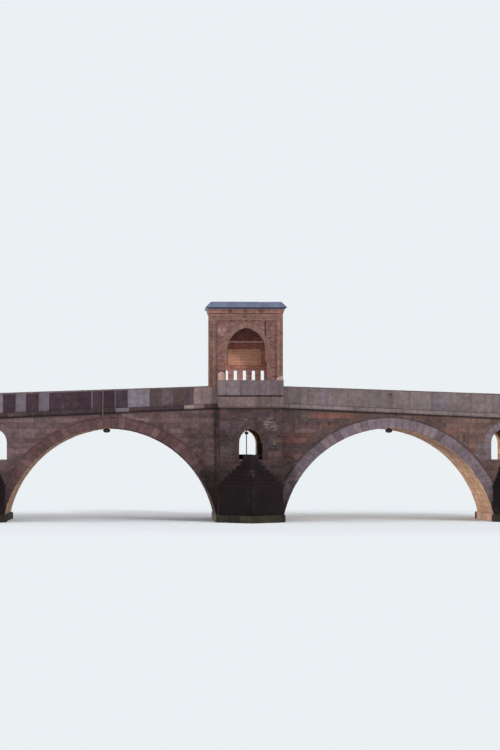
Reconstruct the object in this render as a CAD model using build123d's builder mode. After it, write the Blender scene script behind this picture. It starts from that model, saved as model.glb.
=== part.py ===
"""Stone arch bridge: two pointed arches on a broad pier that carries a balcony and a brick kiosk.

Units are millimetres. X runs along the road, Y across it, and Z is up from the water line.
The near side is towards -Y. The origin is on the axis of the middle pier, at the water line.
"""

import os
from math import hypot, sqrt

from build123d import *

os.makedirs("parts", exist_ok=True)

# The road and the two big arches, measured at the water line
deck_width = 6900.0
pier_width = 4000.0
arch_span = 13100.0
arch_rise = 5780.0
arch_centre_shift = 220.0
ring_thickness = 640.0
crown_cover = 285.0
springing_height = 1200.0
end_length = 4110.0
road_fall = 0.045
wall_thickness = 900.0
crest_margin = 25.0
end_joint_setback = 1280.0
below_water = 500.0

# The small relief arches over the piers
tunnel_width = 1440.0
tunnel_sill = 3800.0
tunnel_jamb = 1050.0
tunnel_rise = 890.0
flank_setback = 500.0

# Footings, cutwaters and their caps
footing_height = 450.0
footing_step = 150.0
cutwater_height = 2150.0
cutwater_inset = 30.0
cutwater_nose = 2000.0
cutwater_shoulder = 50.0
flank_cutwater_width = 1180.0
flank_cutwater_shoulder = 150.0
flank_cutwater_nose = 800.0
cap_cornice = 130.0
cap_overhang = 60.0
cap_courses = 6
cap_rise = 1420.0
capstone_width = 960.0
capstone_height = 420.0
flank_cap_courses = 4
flank_cap_rise = 850.0
flank_capstone_width = 460.0
flank_capstone_height = 260.0

# Hood moulds over the arch rings
hood_width = 100.0
hood_projection = 60.0
hood_clearance = 220.0

# Pilaster under the balcony, buttress and corbels under the kiosk
pilaster_width = 3800.0
pilaster_projection = 800.0
buttress_projection = 1000.0
corbel_courses = 4
corbel_height = 180.0
corbel_ledge = 25.0

# String course and parapets
string_thickness = 260.0
string_projection = 120.0
string_depth = 570.0
string_chamfer = 60.0
parapet_thickness = 300.0
near_parapet_height = 1050.0
near_parapet_end_height = 1170.0
far_parapet_height = 1270.0
far_parapet_end_height = 1450.0

# Balcony over the pilaster
balcony_overhang = 100.0
balcony_base_thickness = 450.0
balcony_base_height = 690.0
balcony_moulding = 90.0
balcony_parapet_height = 1010.0
balcony_joint_height = 80.0
balcony_joint_depth = 60.0
corner_stone_width = 390.0
corner_stone_height = 500.0
corner_stone_bevel = 110.0
broken_stone_height = 300.0

# Kiosk: heights are above its own floor
kiosk_width = 4660.0
kiosk_depth = 3100.0
kiosk_wall = 480.0
kiosk_floor_rise = 150.0
kiosk_step_depth = 350.0
kiosk_step_height = 75.0
kiosk_arch_width = 2430.0
kiosk_arch_springing = 3370.0
kiosk_arch_rise = 1430.0
kiosk_jamb_rebate = 95.0
kiosk_jamb_height = 2610.0
panel_margins = (195.0, 355.0, 515.0)
panel_drops = (0.0, 230.0, 400.0)
panel_step = 30.0
slot_count = 5
slot_width = 226.0
slot_pitch = 582.0
slot_sill = 950.0
slot_height = 1210.0
slot_corner = 70.0
ledge_height = 3970.0
ledge_thickness = 90.0
ledge_projection = 60.0
vault_springing_inset = 150.0
vault_rise = 1400.0
vault_cover = 280.0
cornice_height = 250.0
cornice_projections = (50.0, 90.0)
eave_overhang = 245.0
eave_rise = 110.0
roof_bevel_rise = 340.0
roof_bevel_inset = 330.0
roof_crown_rise = 120.0
roof_ridge_length = 1750.0
roof_ridge_width = 120.0

# Blank inscription tablet inside the kiosk
tablet_width = 2100.0
tablet_height = 1000.0
tablet_thickness = 60.0
tablet_sill = 2530.0
tablet_columns = 3
tablet_rows = 5
tablet_rib = 50.0
tablet_recess = 15.0

# Lamps under the crowns, and the conduit that feeds the left one
lamp_diameter = 450.0
lamp_drop = 300.0
lamp_setback = 350.0
lamp_offsets = {"left": -250.0, "right": 35.0}
conduit_diameter = 60.0
conduit_offset = 480.0
conduit_tail = 150.0
conduit_standoff = 5.0
clip_height = 50.0

# Places worked out from the sizes above
face_y = deck_width / 2
arch_half = arch_span / 2
arch_centre = pier_width / 2 + arch_half
bridge_half = arch_centre + arch_half + end_length
kiosk_half = kiosk_width / 2
crest_half = kiosk_half + crest_margin
flank_centre = arch_centre + arch_half + flank_setback
end_joint = flank_centre - end_joint_setback
arch_drop = (arch_half**2 + 2 * arch_half * arch_centre_shift - arch_rise**2) / (2 * arch_rise)
ring_radius = hypot(arch_half + arch_centre_shift, arch_drop) + ring_thickness
ring_crown = sqrt(ring_radius**2 - arch_centre_shift**2) - arch_drop
string_height = ring_crown + crown_cover + road_fall * (arch_centre - crest_half)
road_top = string_height + string_thickness
string_inner = face_y + string_projection - string_depth
cap_base = cutwater_height + cap_cornice
hood_foot = cap_base + hood_clearance
balcony_half = pilaster_width / 2 + balcony_overhang
balcony_front = face_y + pilaster_projection + balcony_overhang
balcony_inner_half = balcony_half - balcony_base_thickness
balcony_inner_front = balcony_front - balcony_base_thickness
kiosk_inner_half = kiosk_half - kiosk_wall
corbel_step = (kiosk_half + corbel_ledge - pilaster_width / 2) / corbel_courses
kiosk_back = face_y + buttress_projection + corbel_courses * corbel_step
kiosk_front = kiosk_back - kiosk_depth
kiosk_middle = (kiosk_front + kiosk_back) / 2
kiosk_floor = road_top + kiosk_floor_rise
ledge_top = kiosk_floor + ledge_height + ledge_thickness
kiosk_wall_top = ledge_top + vault_rise + vault_cover
eave_height = kiosk_wall_top + cornice_height
near_plane = Plane.XZ.offset(face_y)
sides = {"left": -1, "right": 1}


def road_line(x):
    """Height of the string course's underside, level over the pier and falling to both ends."""
    return string_height - road_fall * max(abs(x) - crest_half, 0.0)


def pointed_arch(centre, springing, sill, half, rise, shift, grow=0.0, mode=Mode.ADD):
    """Adds to the open sketch a two-centred arch on straight jambs, grown outwards by a ring."""
    drop = (half**2 + 2 * half * shift - rise**2) / (2 * rise)
    radius = hypot(half + shift, drop) + grow
    toe = sqrt(radius**2 - drop**2) - shift
    crown = Vector(0, sqrt(radius**2 - shift**2) - drop)
    arc_centre = Vector(shift, -drop)
    towards_haunch = (crown - arc_centre).normalized() + (Vector(-toe, 0) - arc_centre).normalized()
    haunch = arc_centre + towards_haunch.normalized() * radius
    with BuildLine() as outline:
        ThreePointArc(
            (centre - toe, springing),
            (centre + haunch.X, springing + haunch.Y),
            (centre, springing + crown.Y),
        )
        ThreePointArc(
            (centre, springing + crown.Y),
            (centre - haunch.X, springing + haunch.Y),
            (centre + toe, springing),
        )
        Polyline(
            (centre + toe, springing),
            (centre + toe, sill),
            (centre - toe, sill),
            (centre - toe, springing),
        )
    make_face(outline.edges(), mode=mode)


def big_arch(centre, grow=0.0, mode=Mode.ADD):
    """One of the two big arches, whose lines run on down below the water."""
    pointed_arch(
        centre, 0.0, -below_water, arch_half, arch_rise, arch_centre_shift, grow, mode
    )


def relief_arch(centre, mode=Mode.ADD):
    """The outline of a small relief arch, drawn on a plane across the bridge."""
    half = tunnel_width / 2
    shift = (tunnel_rise**2 - half**2) / (2 * half)
    pointed_arch(
        centre, tunnel_sill + tunnel_jamb, tunnel_sill, half, tunnel_rise, shift, 0.0, mode
    )


def block(x_from, x_to, z_from, z_to, mode=Mode.ADD):
    """An upright rectangle between two places and two heights."""
    with Locations(((x_from + x_to) / 2, (z_from + z_to) / 2)):
        Rectangle(abs(x_to - x_from), z_to - z_from, mode=mode)


def keep(piece, name):
    """Labels a finished piece and writes it to its own file."""
    piece.part.label = name
    export_step(piece.part, f"parts/{name}.step")


# Cutwaters


def cutwater_plane(centre, way, height):
    """A level plane at a pier's face, whose Y axis points away from the bridge."""
    return Plane(origin=(centre, way * face_y, height), x_dir=(way, 0, 0), z_dir=(0, 0, 1))


def cutwater_plan(centre, way, height, half, shoulder, nose, overhang=0.0):
    """The plan of a cutwater: short straight sides and a triangular nose, grown by an overhang."""
    with BuildSketch(cutwater_plane(centre, way, height)) as plan:
        with BuildLine():
            Polyline(
                (-half, 0), (-half, shoulder), (0, nose), (half, shoulder), (half, 0), close=True
            )
        make_face()
        if overhang:
            offset(amount=overhang, kind=Kind.INTERSECTION)
            with Locations((0, -face_y / 2)):
                Rectangle(4 * half, face_y, mode=Mode.SUBTRACT)
    return plan.sketch


def cutwater_solid(centre, way, half, shoulder, nose, courses, rise, stone_half, stone_height):
    """The body of a cutwater with its projecting cornice, its stepped cap and the capstone on top."""
    body = cutwater_plan(centre, way, footing_height, half, shoulder, nose)
    extrude(body, amount=cutwater_height - footing_height)
    cornice = cutwater_plan(centre, way, cutwater_height, half, shoulder, nose, cap_overhang)
    extrude(cornice, amount=cap_cornice)
    course_height = rise / courses
    for course in range(courses):
        course_half = half - (half - stone_half) * (course + 0.5) / courses
        course_nose = shoulder + (nose - shoulder) * course_half / half
        course_base = cap_base + course * course_height
        step = cutwater_plan(centre, way, course_base, course_half, shoulder, course_nose)
        extrude(step, amount=course_height)
    stone_nose = shoulder + (nose - shoulder) * stone_half / half
    capstone = cutwater_plan(centre, way, cap_base + rise, stone_half, shoulder, stone_nose)
    extrude(capstone, amount=stone_height)


# Which pier each cutwater belongs to, how far its shoulders stand out, and its half width
pier_cutwater_half = pier_width / 2 - cutwater_inset
projections = {"near": pilaster_projection, "far": buttress_projection}
ways = {"near": -1, "far": 1}

for reach, way in ways.items():
    shoulder = projections[reach] + cutwater_shoulder
    with BuildPart() as pier_cutwater:
        cutwater_solid(
            0,
            way,
            pier_cutwater_half,
            shoulder,
            shoulder + cutwater_nose,
            cap_courses,
            cap_rise,
            capstone_width / 2,
            capstone_height,
        )
        with BuildSketch(cutwater_plane(0, way, footing_height)):
            with Locations((0, projections[reach] / 2)):
                Rectangle(pilaster_width, projections[reach])
        extrude(amount=cap_base + cap_rise + capstone_height, mode=Mode.SUBTRACT)
    keep(pier_cutwater, f"central_{reach}_cutwater")

    for side, sign in sides.items():
        with BuildPart() as flank_cutwater:
            cutwater_solid(
                sign * flank_centre,
                way,
                flank_cutwater_width / 2,
                flank_cutwater_shoulder,
                flank_cutwater_shoulder + flank_cutwater_nose,
                flank_cap_courses,
                flank_cap_rise,
                flank_capstone_width / 2,
                flank_capstone_height,
            )
        keep(flank_cutwater, f"{side}_{reach}_cutwater")


# Footings: one plinth under the middle pier and one under each end


def footing_plan(centre, half, shoulders, nose):
    """Adds both cutwaters of a pier to the open plan, as seen from above."""
    for reach, way in ways.items():
        with BuildLine() as outline:
            Polyline(
                (centre - half, 0),
                (centre - half, way * (face_y + shoulders[reach])),
                (centre, way * (face_y + shoulders[reach] + nose)),
                (centre + half, way * (face_y + shoulders[reach])),
                (centre + half, 0),
                close=True,
            )
        make_face(outline.edges())


pier_shoulders = {reach: projections[reach] + cutwater_shoulder for reach in ways}
flank_shoulders = {reach: flank_cutwater_shoulder for reach in ways}

with BuildPart() as footings:
    with BuildSketch():
        Rectangle(pier_width, deck_width)
        footing_plan(0, pier_cutwater_half, pier_shoulders, cutwater_nose)
        offset(amount=footing_step, kind=Kind.INTERSECTION)
    extrude(amount=footing_height)
    for sign in sides.values():
        with BuildSketch():
            with Locations((sign * (bridge_half - end_length / 2), 0)):
                Rectangle(end_length, deck_width)
            footing_plan(
                sign * flank_centre, flank_cutwater_width / 2, flank_shoulders, flank_cutwater_nose
            )
            offset(amount=footing_step, kind=Kind.INTERSECTION)
        extrude(amount=footing_height)
keep(footings, "footings")


# Middle pier: a block up to the springings, and the mass between the two rings above them

with BuildPart() as central_pier:
    with BuildSketch(near_plane):
        block(-crest_half, crest_half, springing_height, string_height)
        for sign in sides.values():
            big_arch(sign * arch_centre, ring_thickness, Mode.SUBTRACT)
        block(-arch_centre, arch_centre, footing_height, springing_height)
        for sign in sides.values():
            big_arch(sign * arch_centre, 0.0, Mode.SUBTRACT)
        relief_arch(0, Mode.SUBTRACT)
    extrude(amount=-deck_width)
keep(central_pier, "central_pier")

with BuildPart() as near_pilaster:
    with BuildSketch(near_plane):
        block(-pilaster_width / 2, pilaster_width / 2, footing_height, string_height)
        relief_arch(0, Mode.SUBTRACT)
    extrude(amount=pilaster_projection)
keep(near_pilaster, "near_pilaster")

# The buttress is like the pilaster, and its top courses step out to carry the kiosk
with BuildPart() as kiosk_buttress:
    with BuildSketch(Plane.XZ.offset(-face_y)):
        block(-pilaster_width / 2, pilaster_width / 2, footing_height, string_height)
        relief_arch(0, Mode.SUBTRACT)
    extrude(amount=-buttress_projection)
    for course in range(1, corbel_courses + 1):
        reach_out = course * corbel_step
        depth = buttress_projection + reach_out
        course_base = string_height - (corbel_courses + 1 - course) * corbel_height
        with BuildSketch(Plane.XY.offset(course_base)):
            with Locations((0, face_y + depth / 2)):
                Rectangle(pilaster_width + 2 * reach_out, depth)
        extrude(amount=corbel_height)
keep(kiosk_buttress, "kiosk_buttress")


# The bays and the ends

for side, sign in sides.items():
    centre = sign * arch_centre

    with BuildPart() as abutment:
        with BuildSketch(near_plane):
            with BuildLine():
                Polyline(
                    (sign * end_joint, springing_height),
                    (sign * bridge_half, springing_height),
                    (sign * bridge_half, road_line(bridge_half)),
                    (sign * end_joint, road_line(end_joint)),
                    close=True,
                )
            make_face()
            big_arch(centre, ring_thickness, Mode.SUBTRACT)
            block(centre, sign * bridge_half, footing_height, springing_height)
            big_arch(centre, 0.0, Mode.SUBTRACT)
            relief_arch(sign * flank_centre, Mode.SUBTRACT)
        extrude(amount=-deck_width)
    keep(abutment, f"{side}_abutment")

    with BuildPart() as vault:
        with BuildSketch(near_plane):
            big_arch(centre, ring_thickness)
            big_arch(centre, 0.0, Mode.SUBTRACT)
            block(centre - arch_span, centre + arch_span, springing_height, string_height, Mode.INTERSECT)
        extrude(amount=-deck_width)
    keep(vault, f"{side}_vault")

    with BuildSketch() as spandrel_shape:
        with BuildLine():
            Polyline(
                (sign * crest_half, springing_height),
                (sign * crest_half, string_height),
                (sign * end_joint, road_line(end_joint)),
                (sign * end_joint, springing_height),
                close=True,
            )
        make_face()
        big_arch(centre, ring_thickness, Mode.SUBTRACT)

    for reach, way in ways.items():
        with BuildPart() as spandrel:
            with BuildSketch(Plane.XZ.offset(-way * (face_y - wall_thickness))):
                add(spandrel_shape.sketch)
            extrude(amount=-way * wall_thickness)
        keep(spandrel, f"{side}_{reach}_spandrel")

    with BuildPart() as fill:
        with BuildSketch(near_plane.offset(-wall_thickness)):
            add(spandrel_shape.sketch)
        extrude(amount=-(deck_width - 2 * wall_thickness))
    keep(fill, f"{side}_fill")

for reach, way in ways.items():
    with BuildPart() as hoods:
        for sign in sides.values():
            centre = sign * arch_centre
            with BuildSketch(Plane.XZ.offset(-way * face_y)):
                big_arch(centre, ring_thickness + hood_width)
                big_arch(centre, ring_thickness, Mode.SUBTRACT)
                block(centre - arch_span, centre + arch_span, hood_foot, string_height, Mode.INTERSECT)
            extrude(amount=-way * hood_projection)
    keep(hoods, f"{reach}_hood_moulds")


# Road paving, with the balcony's floor and a gap for the kiosk's

with BuildPart() as road_paving:
    with BuildSketch(Plane.XZ.offset(string_inner)):
        with BuildLine():
            Polyline(
                (-bridge_half, road_line(bridge_half)),
                (-crest_half, string_height),
                (crest_half, string_height),
                (bridge_half, road_line(bridge_half)),
                (bridge_half, road_line(bridge_half) + string_thickness),
                (crest_half, road_top),
                (-crest_half, road_top),
                (-bridge_half, road_line(bridge_half) + string_thickness),
                close=True,
            )
        make_face()
    extrude(amount=-2 * string_inner)
    with BuildSketch(Plane.XY.offset(string_height)):
        block(-balcony_inner_half, balcony_inner_half, -balcony_inner_front, -string_inner)
    extrude(amount=string_thickness)
    with BuildSketch(Plane.XY.offset(string_height)):
        block(-kiosk_half, kiosk_half, kiosk_front, kiosk_back)
    extrude(amount=string_thickness, mode=Mode.SUBTRACT)
keep(road_paving, "road_paving")


# String courses and parapets, which stop at the balcony and at the kiosk

inner_ends = {"near": balcony_half, "far": kiosk_half}
parapet_heights = {
    "near": (near_parapet_height, near_parapet_end_height),
    "far": (far_parapet_height, far_parapet_end_height),
}

for reach, way in ways.items():
    start = inner_ends[reach]
    start_height, end_height = parapet_heights[reach]
    outer_y = face_y + string_projection
    for side, sign in sides.items():
        with BuildPart() as string_course:
            with BuildSketch(Plane.XZ.offset(-way * string_inner)):
                with BuildLine():
                    Polyline(
                        (sign * start, string_height),
                        (sign * crest_half, string_height),
                        (sign * bridge_half, road_line(bridge_half)),
                        (sign * bridge_half, road_line(bridge_half) + string_thickness),
                        (sign * crest_half, road_top),
                        (sign * start, road_top),
                        close=True,
                    )
                make_face()
            extrude(amount=-way * string_depth)
            outer_face = string_course.faces().sort_by(Axis.Y)[0 if way < 0 else -1]
            lower_edges = outer_face.edges().filter_by(
                lambda edge: edge.length > string_thickness + 1
                and edge.center().Z < road_line(edge.center().X) + string_thickness / 2
            )
            chamfer(lower_edges, length=string_chamfer)
        keep(string_course, f"{side}_{reach}_string_course")

        with BuildPart() as parapet:
            with BuildSketch(Plane.XZ.offset(-way * (face_y - parapet_thickness))):
                with BuildLine():
                    Polyline(
                        (sign * start, road_top),
                        (sign * crest_half, road_top),
                        (sign * bridge_half, road_line(bridge_half) + string_thickness),
                        (sign * bridge_half, road_line(bridge_half) + string_thickness + end_height),
                        (sign * start, road_top + start_height),
                        close=True,
                    )
                make_face()
            extrude(amount=-way * parapet_thickness)
        keep(parapet, f"{side}_{reach}_parapet")


# Balcony: a base course and a slab parapet, both bent round three sides


def balcony_ring(inset, thickness, inner_end):
    """The plan of a course that goes round the balcony and is open to the road."""
    half = balcony_half - inset
    block(-half, half, -(balcony_front - inset), -inner_end)
    block(
        -(balcony_half - thickness),
        balcony_half - thickness,
        -(balcony_front - thickness),
        -inner_end,
        Mode.SUBTRACT,
    )


balcony_joint = string_height + balcony_base_height
parapet_inner = face_y - parapet_thickness

with BuildPart() as balcony_base:
    with BuildSketch(Plane.XY.offset(string_height)):
        balcony_ring(0.0, balcony_base_thickness, string_inner)
    extrude(amount=balcony_base_height)
    lower_outer_edges = (
        balcony_base.edges()
        .group_by(Axis.Z)[0]
        .filter_by(
            lambda edge: abs(edge.center().Y + balcony_front) < 1
            or abs(abs(edge.center().X) - balcony_half) < 1
        )
    )
    chamfer(lower_outer_edges, length=balcony_moulding)
keep(balcony_base, "balcony_base")

with BuildPart() as balcony_parapet:
    with BuildSketch(Plane.XY.offset(balcony_joint)):
        balcony_ring(balcony_joint_depth, parapet_thickness, parapet_inner)
    extrude(amount=balcony_joint_height)
    with BuildSketch(Plane.XY.offset(balcony_joint + balcony_joint_height)):
        balcony_ring(0.0, parapet_thickness, parapet_inner)
    extrude(amount=balcony_parapet_height - balcony_joint_height)
keep(balcony_parapet, "balcony_parapet")

# A stone stands on each front corner of the parapet; the right one has lost its top
balcony_top = balcony_joint + balcony_parapet_height
corner_x = balcony_half - corner_stone_width / 2
corner_y = corner_stone_width / 2 - balcony_front

with BuildPart() as corner_stones:
    with BuildSketch(Plane.XY.offset(balcony_top)):
        with Locations((-corner_x, corner_y)):
            Rectangle(corner_stone_width, corner_stone_width)
    extrude(amount=corner_stone_height)
    chamfer(corner_stones.faces().sort_by(Axis.Z)[-1].edges(), length=corner_stone_bevel)
    with BuildSketch(Plane.XZ.offset(balcony_front)):
        with BuildLine():
            Polyline(
                (balcony_half, balcony_top),
                (balcony_half, balcony_top + broken_stone_height / 3),
                (balcony_half - corner_stone_width / 3, balcony_top + broken_stone_height),
                (balcony_half - corner_stone_width, balcony_top + broken_stone_height / 2),
                (balcony_half - corner_stone_width, balcony_top),
                close=True,
            )
        make_face()
    extrude(amount=-corner_stone_width)
keep(corner_stones, "balcony_corner_stones")


# Kiosk floor, with one step down to the road

with BuildPart() as kiosk_floor_slab:
    with BuildSketch(Plane.XY.offset(string_height)):
        block(-kiosk_half, kiosk_half, kiosk_front, kiosk_back)
    extrude(amount=kiosk_floor - string_height)
    with BuildSketch(Plane.XY.offset(road_top)):
        step_half = kiosk_arch_width / 2 + kiosk_jamb_rebate
        block(-step_half, step_half, kiosk_front - kiosk_step_depth, kiosk_front)
    extrude(amount=kiosk_step_height)
keep(kiosk_floor_slab, "kiosk_floor")


# Kiosk walls, each with a panel that steps back three times


def panel_recess(plane, middle, width):
    """Cuts the stepped panel into the wall whose outer face lies on the plane."""
    for depth_index, (margin, drop) in enumerate(zip(panel_margins, panel_drops)):
        half = width / 2 - margin
        panel_top = kiosk_wall_top - cornice_height / 2 - drop
        with BuildSketch(plane) as panel:
            block(middle - half, middle + half, kiosk_floor, panel_top)
        extrude(panel.sketch, amount=-(depth_index + 1) * panel_step, mode=Mode.SUBTRACT)


front_plane = Plane.XZ.offset(-kiosk_front)
back_plane = Plane(origin=(0, kiosk_back, 0), x_dir=(-1, 0, 0), z_dir=(0, 1, 0))

with BuildPart() as kiosk_front_wall:
    with BuildSketch(front_plane):
        block(-kiosk_half, kiosk_half, kiosk_floor, kiosk_wall_top)
    extrude(amount=-kiosk_wall)
    panel_recess(front_plane, 0, kiosk_width)
    with BuildSketch(front_plane):
        arch_half_width = kiosk_arch_width / 2
        arch_shift = (kiosk_arch_rise**2 - arch_half_width**2) / (2 * arch_half_width)
        pointed_arch(
            0, kiosk_floor + kiosk_arch_springing, kiosk_floor, arch_half_width, kiosk_arch_rise, arch_shift
        )
        jamb_half = arch_half_width + kiosk_jamb_rebate
        block(-jamb_half, jamb_half, kiosk_floor, kiosk_floor + kiosk_jamb_height)
    extrude(amount=-kiosk_wall, mode=Mode.SUBTRACT)
keep(kiosk_front_wall, "kiosk_front_wall")

with BuildPart() as kiosk_back_wall:
    with BuildSketch(back_plane):
        block(-kiosk_half, kiosk_half, kiosk_floor, kiosk_wall_top)
    extrude(amount=-kiosk_wall)
    panel_recess(back_plane, 0, kiosk_width)
    with BuildSketch(back_plane) as slots:
        with Locations((0, kiosk_floor + slot_sill + slot_height / 2)):
            with GridLocations(slot_pitch, slot_height, slot_count, 1):
                Rectangle(slot_width, slot_height)
        fillet(slots.vertices().group_by(Axis.Y)[-1], radius=slot_corner)
    extrude(amount=-kiosk_wall, mode=Mode.SUBTRACT)
keep(kiosk_back_wall, "kiosk_back_wall")

for side, sign in sides.items():
    side_plane = Plane(origin=(sign * kiosk_half, 0, 0), x_dir=(0, sign, 0), z_dir=(sign, 0, 0))
    with BuildPart() as kiosk_side_wall:
        with BuildSketch(side_plane):
            block(
                sign * (kiosk_front + kiosk_wall),
                sign * (kiosk_back - kiosk_wall),
                kiosk_floor,
                kiosk_wall_top,
            )
        extrude(amount=-kiosk_wall)
        panel_recess(side_plane, sign * kiosk_middle, kiosk_depth - 2 * kiosk_wall + 2 * panel_margins[0])
    keep(kiosk_side_wall, f"kiosk_{side}_wall")


# Inside the kiosk: a ledge round three walls, the vault that springs from it, and the tablet

inner_front = kiosk_front + kiosk_wall
inner_back = kiosk_back - kiosk_wall

with BuildPart() as kiosk_ledge:
    with BuildSketch(Plane.XY.offset(kiosk_floor + ledge_height)):
        block(-kiosk_inner_half, kiosk_inner_half, inner_front, inner_back)
        block(
            -(kiosk_inner_half - ledge_projection),
            kiosk_inner_half - ledge_projection,
            inner_front,
            inner_back - ledge_projection,
            Mode.SUBTRACT,
        )
    extrude(amount=ledge_thickness)
keep(kiosk_ledge, "kiosk_ledge")

with BuildPart() as kiosk_vault:
    with BuildSketch(Plane.XZ.offset(-inner_front)):
        block(-kiosk_inner_half, kiosk_inner_half, ledge_top, eave_height)
        vault_half = kiosk_inner_half - vault_springing_inset
        pointed_arch(
            0, ledge_top, ledge_top - ledge_thickness, vault_half, vault_rise, 0.0, mode=Mode.SUBTRACT
        )
    extrude(amount=-(inner_back - inner_front))
keep(kiosk_vault, "kiosk_vault")

with BuildPart() as kiosk_tablet:
    tablet_plane = Plane.XZ.offset(-(inner_back - tablet_thickness))
    tablet_middle = kiosk_floor + tablet_sill + tablet_height / 2
    cell_width = (tablet_width - (tablet_columns + 1) * tablet_rib) / tablet_columns
    cell_height = (tablet_height - (tablet_rows + 1) * tablet_rib) / tablet_rows
    with BuildSketch(tablet_plane):
        with Locations((0, tablet_middle)):
            Rectangle(tablet_width, tablet_height)
    extrude(amount=-tablet_thickness)
    with BuildSketch(tablet_plane):
        with Locations((0, tablet_middle)):
            with GridLocations(cell_width + tablet_rib, cell_height + tablet_rib, tablet_columns, tablet_rows):
                Rectangle(cell_width, cell_height)
    extrude(amount=-tablet_recess, mode=Mode.SUBTRACT)
keep(kiosk_tablet, "kiosk_tablet")


# Kiosk cornice and the lead roof, a low hipped slab with bevelled edges


def kiosk_plan(height, grow):
    """A sketch of the kiosk's outline at a height, grown on every side."""
    with BuildSketch(Plane.XY.offset(height)) as outline:
        with Locations((0, kiosk_middle)):
            Rectangle(kiosk_width + 2 * grow, kiosk_depth + 2 * grow)
    return outline.sketch


with BuildPart() as kiosk_cornice:
    course_height = cornice_height / len(cornice_projections)
    for course, projection in enumerate(cornice_projections):
        extrude(kiosk_plan(kiosk_wall_top + course * course_height, projection), amount=course_height)
    extrude(kiosk_plan(kiosk_wall_top, -kiosk_wall), amount=cornice_height, mode=Mode.SUBTRACT)
keep(kiosk_cornice, "kiosk_cornice")

eave_tip = eave_height + eave_rise
bevel_top = eave_tip + roof_bevel_rise
roof_top = bevel_top + roof_crown_rise


def roof_profile(middle, half, ridge_half):
    """The roof's outline across one direction, from the soffit over the eave and bevel to the ridge."""
    rising = [
        (half + cornice_projections[-1], eave_height),
        (half + eave_overhang, eave_tip),
        (half + eave_overhang - roof_bevel_inset, bevel_top),
        (ridge_half, roof_top),
    ]
    falling = [(-reach, height) for reach, height in reversed(rising)]
    with BuildLine() as outline:
        Polyline(*[(middle + reach, height) for reach, height in rising + falling], close=True)
    make_face(outline.edges())


with BuildPart() as kiosk_roof:
    with BuildSketch(Plane.XZ.offset(-kiosk_front + eave_overhang)):
        roof_profile(0, kiosk_half, roof_ridge_length / 2)
    extrude(amount=-(kiosk_depth + 2 * eave_overhang))
    with BuildSketch(Plane.YZ.offset(-kiosk_half - eave_overhang)):
        roof_profile(kiosk_middle, kiosk_depth / 2, roof_ridge_width / 2)
    extrude(amount=kiosk_width + 2 * eave_overhang, mode=Mode.INTERSECT)
keep(kiosk_roof, "kiosk_roof")


# Lamps hang from the soffits just inside the near face, and a conduit runs down to the left one

with BuildPart() as crown_lamps:
    for side, sign in sides.items():
        with BuildSketch(Plane.XY.offset(arch_rise - lamp_drop)):
            with Locations((sign * arch_centre + lamp_offsets[side], lamp_setback - face_y)):
                Circle(lamp_diameter / 2)
        extrude(amount=2 * lamp_drop)
    with BuildSketch(near_plane):
        for sign in sides.values():
            big_arch(sign * arch_centre)
    extrude(amount=-deck_width, mode=Mode.INTERSECT)
keep(crown_lamps, "crown_lamps")

with BuildPart() as crown_conduit:
    conduit_x = arch_centre + conduit_offset
    conduit_y = -(face_y + string_projection + conduit_diameter / 2 + conduit_standoff)
    slope_share = (conduit_x - balcony_half) / (bridge_half - balcony_half)
    parapet_end = road_line(bridge_half) + string_thickness + near_parapet_end_height
    parapet_start = road_top + near_parapet_height
    conduit_top = parapet_start + slope_share * (parapet_end - parapet_start)
    conduit_base = ring_crown - conduit_tail
    with BuildSketch(Plane.XY.offset(conduit_base)):
        with Locations((-conduit_x, conduit_y)):
            Circle(conduit_diameter / 2)
    extrude(amount=conduit_top - conduit_base)
    clip_heights = (
        conduit_base + clip_height,
        road_line(conduit_x) + string_thickness + clip_height,
        conduit_top - 2 * clip_height,
    )
    for clip_base in clip_heights:
        with BuildSketch(Plane.XY.offset(clip_base)):
            with Locations((-conduit_x, (conduit_y - face_y) / 2)):
                Rectangle(conduit_diameter, -conduit_y - face_y)
        extrude(amount=clip_height)
keep(crown_conduit, "crown_conduit")
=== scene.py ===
import random
from math import acos, asin, atan, cos, hypot, pi, radians, sin, sqrt

import bpy
import numpy as np
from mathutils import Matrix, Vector


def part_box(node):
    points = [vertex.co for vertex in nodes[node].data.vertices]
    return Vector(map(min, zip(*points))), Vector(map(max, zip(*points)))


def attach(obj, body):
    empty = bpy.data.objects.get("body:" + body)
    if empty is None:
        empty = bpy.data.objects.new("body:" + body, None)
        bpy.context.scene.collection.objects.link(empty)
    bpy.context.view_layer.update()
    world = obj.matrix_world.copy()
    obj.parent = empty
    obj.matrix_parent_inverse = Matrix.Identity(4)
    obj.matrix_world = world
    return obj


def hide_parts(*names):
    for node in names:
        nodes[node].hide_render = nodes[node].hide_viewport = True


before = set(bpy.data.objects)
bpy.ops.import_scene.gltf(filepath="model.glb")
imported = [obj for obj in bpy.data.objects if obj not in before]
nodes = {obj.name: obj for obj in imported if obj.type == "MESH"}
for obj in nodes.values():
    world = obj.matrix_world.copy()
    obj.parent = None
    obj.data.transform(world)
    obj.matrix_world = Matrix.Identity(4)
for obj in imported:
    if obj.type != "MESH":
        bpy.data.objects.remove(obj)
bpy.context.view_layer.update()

# Lengths are metres. X runs along the road, the near side is towards -Y, and Z is up from the water line.
sides = {"left": -1, "right": 1}
ways = {"near": -1, "far": 1}
lip = 0.012  # how far stones reach over a corner
course_gap, slab_gap = 0.010, 0.012  # open joints between blocks in a run, and between slabs
buried = -0.03  # where a stone starts, behind the face of its solid
unsplit = 9.0  # an edge step so long that no edge is split
smallest_stone, smallest_brick = 0.006, 0.0012  # areas under which a trimmed one is left out

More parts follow.
